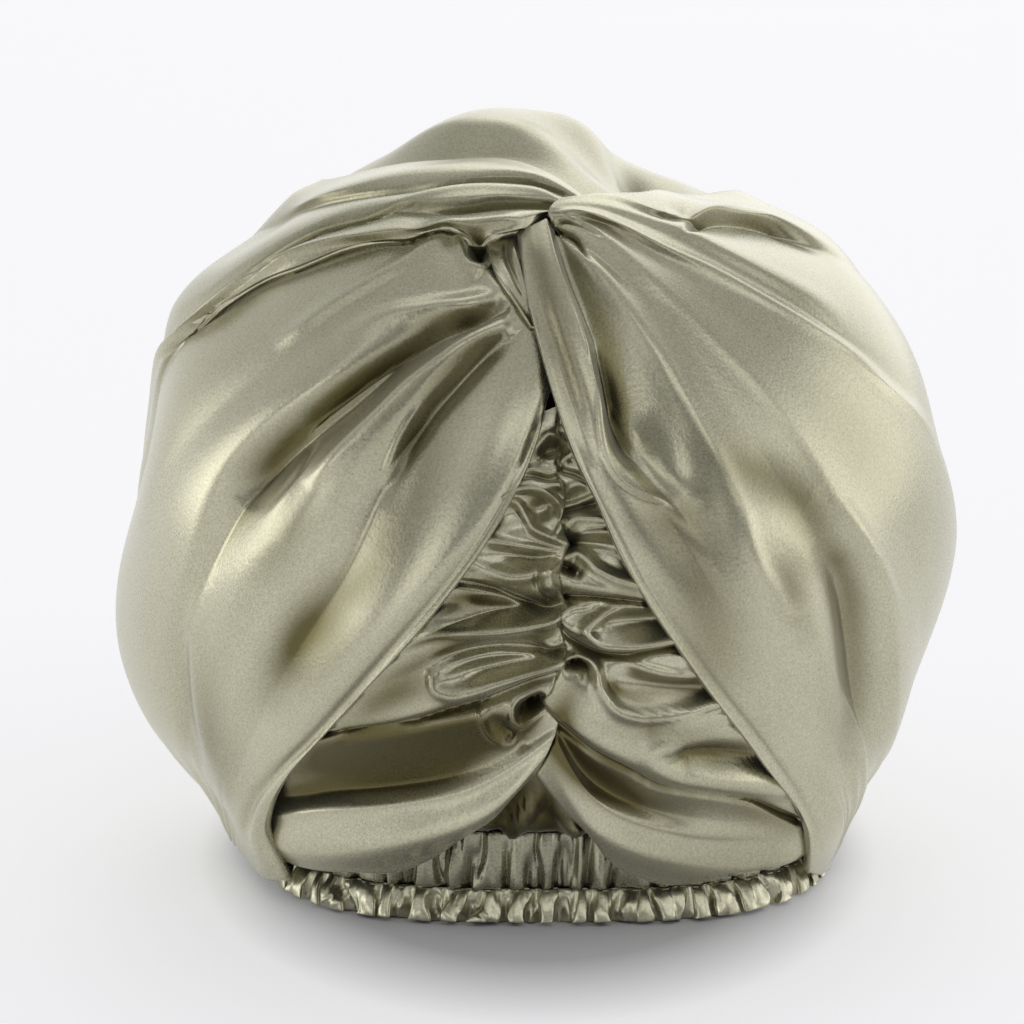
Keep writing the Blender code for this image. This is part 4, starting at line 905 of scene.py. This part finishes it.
def depthUnder(ways, covers):
    # degrees inside the wraps' upper and rear edges; less than 0 where the crown shows
    deepest = np.full(ways.shape[:-1], -180.0)
    for cover in covers:
        rear = cover[-1, :, 2] > math.sin(math.radians(crown["rearEdge"]))
        edge = np.concatenate([cover[::4, -1], cover[-1][rear][::3]])
        outwards = edge - unit(cover.mean((0, 1)))
        cosines = ways @ edge.T
        nearest = cosines.argmax(-1)
        away = np.degrees(np.arccos(np.clip(cosines.max(-1), -1, 1)))
        side = np.sum((ways - edge[nearest]) * outwards[nearest], -1)
        deepest = np.maximum(deepest, np.where(side > 0, -away, away))
    return deepest


def softened(values, times):
    for _ in range(times):
        values = (np.roll(values, 1, 1) + 2 * values + np.roll(values, -1, 1)) / 4
        taller = np.concatenate([values[:1], values, values[-1:]])
        values = (taller[:-2] + 2 * values + taller[2:]) / 4
    return values


def wandering(turn):
    # gathers round the rim aren't evenly spaced
    return 0.9 * np.sin(3 * turn + 0.6) + 0.5 * np.sin(7 * turn + 2.1)


def crownSheet(covers):
    azimuths = np.linspace(0, 360, crown["around"], endpoint=False)
    elevations = np.linspace(90, crown["lowest"], crown["rows"] + 1)[1:]
    ways = heading(azimuths[None, :], elevations[:, None])
    depth = softened(depthUnder(ways, covers), 6)
    bare, covered = ramp(-depth, *crown["bareFrom"]), ramp(depth, *crown["coveredFrom"])
    turn = np.radians(azimuths)[None]
    folds = crown["foldRise"] * np.cos(crown["folds"] * turn) * ramp(-ways[..., 2], *crown["foldsLow"])
    gathers = crown["gatherRise"] * np.cos(crown["gathers"] * turn + 2.4 * wandering(turn))
    gathers = gathers * ramp(-ways[..., 2], *crown["gathersLow"])
    lift = crown["atEdges"] + (crown["bare"] + folds - crown["atEdges"]) * bare + gathers
    lift = lift + (crown["covered"] - crown["atEdges"]) * covered
    lift = lift * mm + bumpsAt(ways, crownBumps) * bare + bumpsAt(ways, twistHollow)
    radius = bodyRadius(ways) + softened(lift, 2)
    outer = middle + ways * radius[..., None]
    # below, the cloth turns in to its seat on the casing
    seat = rimPoint(np.radians(azimuths), crown["outset"], crown["bottom"])
    bend = outer[-1] + (seat - outer[-1]) * np.array(crown["turn"])
    t = np.linspace(0, 1, crown["seatRows"] + 1)[1:, None, None]
    turned = (1 - t) ** 2 * outer[-1] + 2 * t * (1 - t) * bend + t**2 * seat
    soft = np.sin(np.radians(azimuths) * crown["tongueFolds"] + 2.2)[None, :, None] + 0.6
    turned = turned + heading(azimuths, -20)[None] * soft * crown["tongueRise"] * 4 * t * (1 - t)
    pole = middle + heading(0, 90) * radius[0].mean()
    poleRow = np.repeat(pole[None, None], crown["around"], 1)
    outer = np.concatenate([poleRow, outer, turned])
    outer = creased(outer, unit(outer - middle), crownCreases)
    # painted shade: the crown darkens where the wraps cover it, and the turned rows below, seen between the
    # flaps, take the lowest row's share
    below = np.repeat(covered[-1:], crown["seatRows"], 0)
    shade = np.concatenate([covered[:1], covered, below]) * crown["shade"]
    return walled("crownCloth", outer, crown["wall"], shade, wrap=True)


class Wire:
    # a socket as a number: an expression on it adds its Math nodes
    def __init__(self, tree, socket):
        self.tree, self.socket = tree, socket

    def math(self, operation, *others):
        maths = self.tree.nodes.new("ShaderNodeMath")
        maths.operation = operation
        for place, value in enumerate((self, *others)):
            if isinstance(value, Wire):
                self.tree.links.new(value.socket, maths.inputs[place])
            else:
                maths.inputs[place].default_value = value
        return Wire(self.tree, maths.outputs[0])

    def reflected(self, operation, other):
        value = self.tree.nodes.new("ShaderNodeValue")
        value.outputs[0].default_value = other
        return Wire(self.tree, value.outputs[0]).math(operation, self)

    __add__ = __radd__ = partialmethod(math, "ADD")
    __mul__ = __rmul__ = partialmethod(math, "MULTIPLY")
    __sub__ = partialmethod(math, "SUBTRACT")
    __rsub__ = partialmethod(reflected, "SUBTRACT")
    __truediv__ = partialmethod(math, "DIVIDE")
    __rtruediv__ = partialmethod(reflected, "DIVIDE")
    __pow__ = partialmethod(math, "POWER")

    def __neg__(self):
        return self * -1


class Graph:
    # adds nodes to a tree: settings first, then the sockets' values or links, where _0 is the first socket
    def __init__(self, tree):
        self.tree = tree

    def node(self, kind, settings=None, **sockets):
        made = self.tree.nodes.new(kind)
        for key, value in (settings or {}).items():
            setattr(made, key, value)
        for key, value in sockets.items():
            socket = made.inputs[int(key[1:]) if key[1:].isdigit() else key.replace("_", " ")]
            if isinstance(value, Wire):
                value = value.socket
            if isinstance(value, bpy.types.NodeSocket):
                self.tree.links.new(value, socket)
            else:
                socket.default_value = value
        return made

    def out(self, made, name=0):
        return Wire(self.tree, made.outputs[name])

    def noise(self, place, scale, detail, roughness=0.5):
        made = self.node("ShaderNodeTexNoise", Vector=place, Scale=scale, Detail=detail, Roughness=roughness)
        return self.out(made, "Fac")


# satin
satin = {
    "colour": (0.486, 0.472, 0.352),
    "darker": (0.84, 0.84, 0.79),  # how far the colour strays, each way
    "lighter": (1.24, 1.24, 1.24),
    "strayBy": {"drift": 0.7, "grain": 1.5, "middle": 0.14},
    # painted shade: the colour that folds are darkened to, and the most share of it taken
    "paintedShadeColour": (0.090, 0.073, 0.018),
    "paintedShade": 0.92,
    "metallic": 0.95,
    "roughness": 0.285,
    "roughnessBy": {"drift": 0.08, "grain": 0.06},
    "grainSize": 0.00068,
    "grainBump": 0.00004,
    "crinkleSize": 0.0012,
    "crinkleBump": 0.00016,
    "driftSize": 0.045,
    "sheen": 0.30,
}


def satinWithPaintedShade(name, shade=1.0, roughness=0.0, crinkle=1.0):
    material = bpy.data.materials.new(name)
    material.use_nodes = True
    tree = material.node_tree
    shader = tree.nodes["Principled BSDF"]
    g = Graph(tree)
    place = g.out(g.node("ShaderNodeTexCoord"), "Object")
    grain = g.noise(place, 1 / satin["grainSize"], 1.0, 0.4)
    wrinkle = g.noise(place, 1 / satin["crinkleSize"], 1.5, 0.55)
    drift = g.noise(place, 1 / satin["driftSize"], 2.0)
    by = satin["strayBy"]
    stray = drift * by["drift"] + (grain - 0.5) * by["grain"] + by["middle"]
    mixed = g.node("ShaderNodeMix", {"data_type": "RGBA"}, Factor=stray)
    for slot, strayed in ((6, satin["darker"]), (7, satin["lighter"])):
        colour = [channel * shade * share for channel, share in zip(satin["colour"], strayed)]
        mixed.inputs[slot].default_value = (*colour, 1)
    # painted shade: the colour darkens towards a dark olive by the vertex attribute, which holds the shade
    # painted into folds, slopes that turn down and the shade strokes
    depth = g.out(g.node("ShaderNodeAttribute", {"attribute_name": "paintedShade"}), "Fac")
    deep = g.node("ShaderNodeMix", {"data_type": "RGBA"}, Factor=depth * satin["paintedShade"])
    tree.links.new(mixed.outputs[2], deep.inputs[6])
    deep.inputs[7].default_value = (*satin["paintedShadeColour"], 1)
    tree.links.new(deep.outputs[2], shader.inputs["Base Color"])
    by = satin["roughnessBy"]
    rough = (grain - 0.5) * by["grain"] + (drift - 0.5) * by["drift"] + (satin["roughness"] + roughness)
    tree.links.new(rough.socket, shader.inputs["Roughness"])
    first = g.node("ShaderNodeBump", Height=wrinkle, Distance=satin["crinkleBump"] * crinkle, Strength=0.4)
    second = g.node("ShaderNodeBump", Height=grain, Distance=satin["grainBump"], Strength=0.3,
                    Normal=first.outputs[0])
    tree.links.new(second.outputs[0], shader.inputs["Normal"])
    shader.inputs["Metallic"].default_value = satin["metallic"]
    shader.inputs["Sheen Weight"].default_value = satin["sheen"]
    shader.inputs["Sheen Roughness"].default_value = 0.35
    shader.inputs["Sheen Tint"].default_value = (1.0, 1.0, 0.9, 1)
    return material


# copies of one satin whose colour is scaled by shade: painted shade on the casing, which lies recessed,
# painted light on the band, and the inner satin and the thread scaled darker
satinOuter = satinWithPaintedShade("satinOuter")
satinInner = satinWithPaintedShade("satinInner", shade=0.92, roughness=0.03)
satinCasing = satinWithPaintedShade("satinCasing", shade=0.66, roughness=-0.01, crinkle=1.2)
satinBand = satinWithPaintedShade("satinBand", shade=1.12, roughness=0.02, crinkle=0.7)
threadFinish = satinWithPaintedShade("thread", shade=0.80, roughness=0.12)

# the gathered bands, made by one node tree: a closed section swept round the rim, with flutes
casing = {
    "around": 1861,  # points round the rim and round the section, of which the last lies on the first
    "section": 31,
    "bottom": rim["frillTop"] + rim["gap"],
    "top": rim["casingTop"],
    "wall": 0.0020,
    "flutes": 62.0,
    "rise": 0.0019,
    "loops": 0.0,  # how far the flutes fold over sideways
    "flare": 0.0,
    "keptHigh": 0.5,  # share of the flutes left at the top and at the bottom
    "keptLow": 1.0,
    "uneven": 0.8,
    "squareness": 0.35,
    "raised": 0.0,
    "finish": satinCasing,
}
frill = {
    **casing,
    "around": 2481,
    "bottom": 0.0,
    "top": rim["frillTop"],
    "wall": 0.0010,
    "rise": 0.0030,
    "loops": 0.0012,
    "flare": 0.0026,
    "keptHigh": 0.22,
    "uneven": 0.5,
    "squareness": 0.6,
    "raised": 0.0014,
    "finish": satinBand,
}
fluting = {
    "slow": {"turns": 9, "drop": 0.5, "shift": 15, "depth": 2.4},  # noise round the rim and down the flutes
    "quick": {"turns": 31, "drop": 0.9, "shift": 1.5, "depth": 2.2},
    "leastDepth": 0.15,
    "sharpness": 0.8,
}
socketKinds = {int: "NodeSocketInt", float: "NodeSocketFloat", bpy.types.Material: "NodeSocketMaterial"}


def newTree(name, values, carried=False):
    # a node group with a named input for each value, and for the mesh it works on if one is carried
    tree = bpy.data.node_groups.new(name, "GeometryNodeTree")
    tree.interface.new_socket("Geometry", in_out="OUTPUT", socket_type="NodeSocketGeometry")
    if carried:
        tree.interface.new_socket("Geometry", in_out="INPUT", socket_type="NodeSocketGeometry")
    for label, value in values.items():
        tree.interface.new_socket(label, in_out="INPUT", socket_type=socketKinds[type(value)])
    given = tree.nodes.new("NodeGroupInput").outputs
    return Graph(tree), {socket.name: Wire(tree, socket) for socket in given if socket.name}


def finishTree(g, made, finish):
    smooth = g.node("GeometryNodeSetShadeSmooth", Geometry=made.outputs[0])
    real = g.node("GeometryNodeRealizeInstances", Geometry=smooth.outputs[0])
    painted = g.node("GeometryNodeSetMaterial", Geometry=real.outputs[0], Material=finish)
    g.node("NodeGroupOutput", Geometry=painted.outputs[0])


def bandTree():
    g, size = newTree("gatheredBand", casing)

    def vector(x, y, z):
        return g.out(g.node("ShaderNodeCombineXYZ", X=x, Y=y, Z=z))

    grid = g.node("GeometryNodeMeshGrid", Size_X=1.0, Size_Y=1.0, Vertices_X=size["around"],
                  Vertices_Y=size["section"])
    where = g.node("ShaderNodeSeparateXYZ", Vector=g.out(g.node("GeometryNodeInputPosition")))
    turn, loop = ((g.out(where, axis) + 0.5) * (2 * math.pi) for axis in "XY")
    # the section is a rounded bar
    c, s = loop.math("COSINE"), loop.math("SINE")
    acrossBar = c.math("SIGN") * c.math("ABSOLUTE") ** size["squareness"]
    share = s.math("SIGN") * s.math("ABSOLUTE") ** 0.8 * 0.5 + 0.5
    # flutes of uneven width and depth, which wander a little on their way down
    side, ahead = turn.math("SINE"), turn.math("COSINE")
    slow, quick = fluting["slow"], fluting["quick"]
    slowPlace = vector(side * slow["turns"], ahead * slow["turns"], share * slow["drop"])
    quickPlace = vector(side * quick["turns"], ahead * quick["turns"], share * quick["drop"] + 4)
    noise = g.noise(slowPlace, 1.0, 1.5) - 0.5
    fine = g.noise(quickPlace, 1.0, 1.0) - 0.5
    phase = turn * size["flutes"] + noise * slow["shift"] + fine * quick["shift"]
    depth = (fine * quick["depth"] + noise * slow["depth"]) * size["uneven"] + 1
    wave = (phase * 0.5).math("COSINE").math("ABSOLUTE") ** fluting["sharpness"] * 2 - 1
    kept = share * (size["keptHigh"] - size["keptLow"]) + size["keptLow"]
    flute = wave * depth.math("MAXIMUM", fluting["leastDepth"]) * size["rise"] * kept
    opened = size["flare"] * (1 - share * share)
    outset = acrossBar * size["wall"] * 0.5 - size["wall"] * 0.5 + flute + opened
    sideways = (phase * 2).math("SINE") * size["loops"] * kept * depth
    # the rim's outline, as in rimPoint
    front = ahead.math("GREATER_THAN", 0.0)
    power = front * (rim["frontSquareness"] - rim["backSquareness"]) + rim["backSquareness"]
    half = front * (rim["front"] - rim["back"]) + rim["back"]
    aside = (side / rim["halfWidth"]).math("ABSOLUTE") ** power
    along = (ahead / half).math("ABSOLUTE") ** power
    reach = (aside + along) ** (-1 / power) + outset
    lifted = (wave * 0.5 + 0.5) * depth.math("MINIMUM", 1.5).math("MAXIMUM", 0.0)
    height = size["bottom"] + (size["top"] - size["bottom"]) * share + lifted * size["raised"] * (1 - share)
    moved = turn + sideways / rim["radius"]
    place = vector(moved.math("SINE") * reach + rim["centreX"], -(moved.math("COSINE") * reach), height)
    set3d = g.node("GeometryNodeSetPosition", Geometry=grid.outputs[0], Position=place)
    closed = g.node("GeometryNodeMergeByDistance", Geometry=set3d.outputs[0], Distance=0.00001)
    finishTree(g, closed, size["finish"])
    return g.tree


def fromNodes(name, tree, values, carrier=None):
    # runs a tree once and keeps its result as a plain mesh
    carrier = carrier or inScene(name + "Carrier", bpy.data.meshes.new(name + "Carrier"))
    modifier = carrier.modifiers.new("made", "NODES")
    modifier.node_group = tree
    for item in tree.interface.items_tree:
        if item.in_out == "INPUT" and item.name in values:
            modifier[item.identifier] = values[item.name]
    bpy.context.view_layer.update()
    evaluated = carrier.evaluated_get(bpy.context.evaluated_depsgraph_get())
    mesh = bpy.data.meshes.new_from_object(evaluated)
    mesh.name = name
    carrier.modifiers.remove(modifier)
    bpy.data.objects.remove(carrier)
    return inScene(name, mesh)


# the stitches that join the frill to the casing, strung on a line that follows the flutes
stitch = {"count": 190, "length": 0.0019, "thickness": 0.00055, "finish": threadFinish}
stitchLine = {"points": 1600, "height": 0.01015, "proud": 0.0007, "sharpness": 0.75, "share": 0.9}


def seamStitches():
    g, size = newTree("stitchesAlong", stitch, carried=True)
    line = g.node("GeometryNodeMeshToCurve", Mesh=size["Geometry"])
    spots = g.node("GeometryNodeResampleCurve", Curve=line.outputs[0], Count=size["count"])
    tangent = g.node("GeometryNodeInputTangent")
    aligned = g.node("FunctionNodeAlignEulerToVector", {"axis": "X"}, Vector=tangent.outputs[0])
    bar = g.node("GeometryNodeMeshIcoSphere", Radius=0.5, Subdivisions=2)
    scale = g.node("ShaderNodeCombineXYZ", X=size["length"], Y=size["thickness"], Z=size["thickness"])
    wobble = g.node("FunctionNodeRandomValue", {"data_type": "FLOAT_VECTOR"}, Min=(0.85, 0.9, 0.9),
                    Max=(1.12, 1.1, 1.1), Seed=4)
    sized = g.node("ShaderNodeVectorMath", {"operation": "MULTIPLY"}, _0=scale.outputs[0],
                   _1=wobble.outputs[0])
    points = g.node("GeometryNodeInstanceOnPoints", Points=spots.outputs[0], Instance=bar.outputs[0],
                    Rotation=aligned.outputs[0], Scale=sized.outputs[0])
    finishTree(g, points, size["finish"])
    turn = np.linspace(0, 2 * math.pi, stitchLine["points"], endpoint=False)
    flutes = np.abs(np.cos((casing["flutes"] * turn + wandering(turn)) / 2)) ** stitchLine["sharpness"]
    wave = casing["rise"] * (2 * flutes - 1) * stitchLine["share"]
    line = rimPoint(turn, wave + stitchLine["proud"], stitchLine["height"])
    mesh = bpy.data.meshes.new("stitchLine")
    mesh.from_pydata(line.tolist(), [(k, (k + 1) % len(turn)) for k in range(len(turn))], [])
    return fromNodes("seamStitches", g.tree, stitch, inScene("stitchLine", mesh))


# floor, light and camera
studio = {
    "floorHalf": 8.0,
    "floorColour": (0.64, 0.64, 0.665),
    "paintedFloorGlow": 0.42,  # painted light: the floor glows round the shade in front of the cloth
    "glowFrom": 0.118,  # metres from the middle: where it starts, and where it is full
    "glowTo": 0.175,
    "glowAcross": 2.9,  # it starts sooner at the sides
    "room": 0.295,  # brightness of the room in front, and of the backdrop
    "backdrop": 0.90,
    "ceiling": 0.25,
    "lobes": (  # soft boxes: azimuth, elevation and spread in degrees, brightness
        (162, 16, 36, 0.85),
        (176, 50, 24, 0.7),
        (94, -4, 38, 1.35),
        (-94, -8, 36, 2.0),
        (-38, 8, 18, 1.2),
        (8, 45, 16, 0.9),
        (48, 32, 24, 0.85),
        (-48, 42, 22, 0.35),
    ),
}


def floorPiece():
    mesh = bpy.data.meshes.new("floor")
    half = studio["floorHalf"]
    corners = [(x * half, y * half, 0) for x, y in ((-1, -1), (1, -1), (1, 1), (-1, 1))]
    mesh.from_pydata(corners, [], [(0, 1, 2, 3)])
    material = bpy.data.materials.new("paleFloor")
    material.use_nodes = True
    shader = material.node_tree.nodes["Principled BSDF"]
    shader.inputs["Base Color"].default_value = (*studio["floorColour"], 1)
    shader.inputs["Roughness"].default_value = 0.7
    shader.inputs["Specular IOR Level"].default_value = 0.15
    g = Graph(material.node_tree)
    place = g.node("ShaderNodeSeparateXYZ", Vector=g.out(g.node("ShaderNodeTexCoord"), "Object"))
    x, y = g.out(place, "X"), g.out(place, "Y")
    # painted light: the floor glows more the further it lies from the cloth, and sooner at the sides
    away = (x * x * studio["glowAcross"] + y * y) ** 0.5
    glow = (away - studio["glowFrom"]) / (studio["glowTo"] - studio["glowFrom"])
    glow = glow.math("MINIMUM", 1.0).math("MAXIMUM", 0.0) * studio["paintedFloorGlow"]
    material.node_tree.links.new(glow.socket, shader.inputs["Emission Color"])
    shader.inputs["Emission Strength"].default_value = 1.0
    mesh.materials.append(material)
    floor = inScene("floor", mesh)


def skyLight():
    world = bpy.data.worlds.new("studio")
    bpy.context.scene.world = world
    world.use_nodes = True
    g = Graph(world.node_tree)
    way = g.node("ShaderNodeSeparateXYZ", Vector=g.out(g.node("ShaderNodeTexCoord"), "Generated"))
    x, y, z = (g.out(way, axis) for axis in "XYZ")
    # the backdrop takes over from the room towards the back
    behind = (y * 0.9 + 0.35).math("MINIMUM", 1.0).math("MAXIMUM", 0.0)
    above = z.math("MAXIMUM", 0.0)
    strength = behind * (studio["backdrop"] - studio["room"]) * (1 - above)
    strength = strength + above * above * studio["ceiling"] + studio["room"]
    for azimuth, elevation, spread, brightness in studio["lobes"]:
        towards = heading(azimuth, elevation)
        cosine = x * float(towards[0]) + y * float(towards[1]) + z * float(towards[2])
        edge = math.cos(math.radians(spread))
        share = ((cosine - edge) / (1 - edge)).math("MAXIMUM", 0.0)
        strength = strength + share ** 0.7 * brightness
    background = world.node_tree.nodes["Background"]
    background.inputs["Color"].default_value = (0.99, 0.99, 1.0, 1)
    world.node_tree.links.new(strength.socket, background.inputs["Strength"])


def cameraAtPhoto():
    data = bpy.data.cameras.new("camera")
    data.sensor_width = 36.0
    data.lens = 36.0 * view["distance"] / (2 * view["centre"] * view["step"])
    data.clip_end = 30
    camera = inScene("camera", data)
    camera.location = eye
    camera.rotation_euler = (math.radians(90 - view["tilt"]), 0, 0)
    bpy.context.scene.camera = camera


# build
bpy.context.scene.view_settings.view_transform = "Standard"
cameraAtPhoto()
floorPiece()
skyLight()
print("stage ready")

wrapLeft, leftWays = wrapSheet("wrapLeft", leftFolds, leftCreases, leftShades, 0.7)
wrapRight, rightWays = wrapSheet("wrapRight", rightFolds, rightCreases, rightShades, 2.3)
print("wraps ready")
panelLeft = smallSheet("panelLeft", panel, panelLeftFolds, panelLeftCreases, panelLeftShades)
panelRight = smallSheet("panelRight", panel, panelRightFolds, panelRightCreases, panelRightShades)
twistTuck = smallSheet("twistTuck", tuck, tuckFolds, tuckCreases)
print("panels and tuck ready")
crownCloth = crownSheet((leftWays, rightWays))
print("crown ready")
bands = bandTree()
casingBand = fromNodes("casingBand", bands, casing)
hemFrill = fromNodes("hemFrill", bands, frill)
seamThread = seamStitches()
print("bands and stitches ready")

for piece in (wrapLeft, wrapRight, twistTuck, panelLeft, panelRight):
    piece.data.materials.append(satinOuter)
crownCloth.data.materials.append(satinInner)

dressed = (
    (wrapLeft, "wrap_left", "satin", (0.30, 0.24), 0.060, "gathered"),
    (wrapRight, "wrap_right", "satin", (0.30, 0.24), 0.060, "gathered"),
    (twistTuck, "twist_tuck", "satin", (0.03, 0.017), None, "folded"),
    (panelLeft, "front_panel_left", "satin", (0.15, 0.09), 0.0105, "gathered"),
    (panelRight, "front_panel_right", "satin", (0.15, 0.09), 0.0105, "gathered"),
    (crownCloth, "crown", "inner_satin", (0.46, 0.46), 0.150, "gathered"),
    (casingBand, "elastic_casing", "inner_satin", (0.56, 0.019), None, "gathered"),
    (hemFrill, "hem_frill", "satin", (0.66, 0.013), None, "gathered"),
)
for piece, node, slot, flat, area, held in dressed:
    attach(piece, "root")
    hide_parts(node)
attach(seamThread, "root")

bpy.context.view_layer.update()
for piece in [row[0] for row in dressed] + [seamThread]:
    print(piece.name, len(piece.data.polygons), "faces")
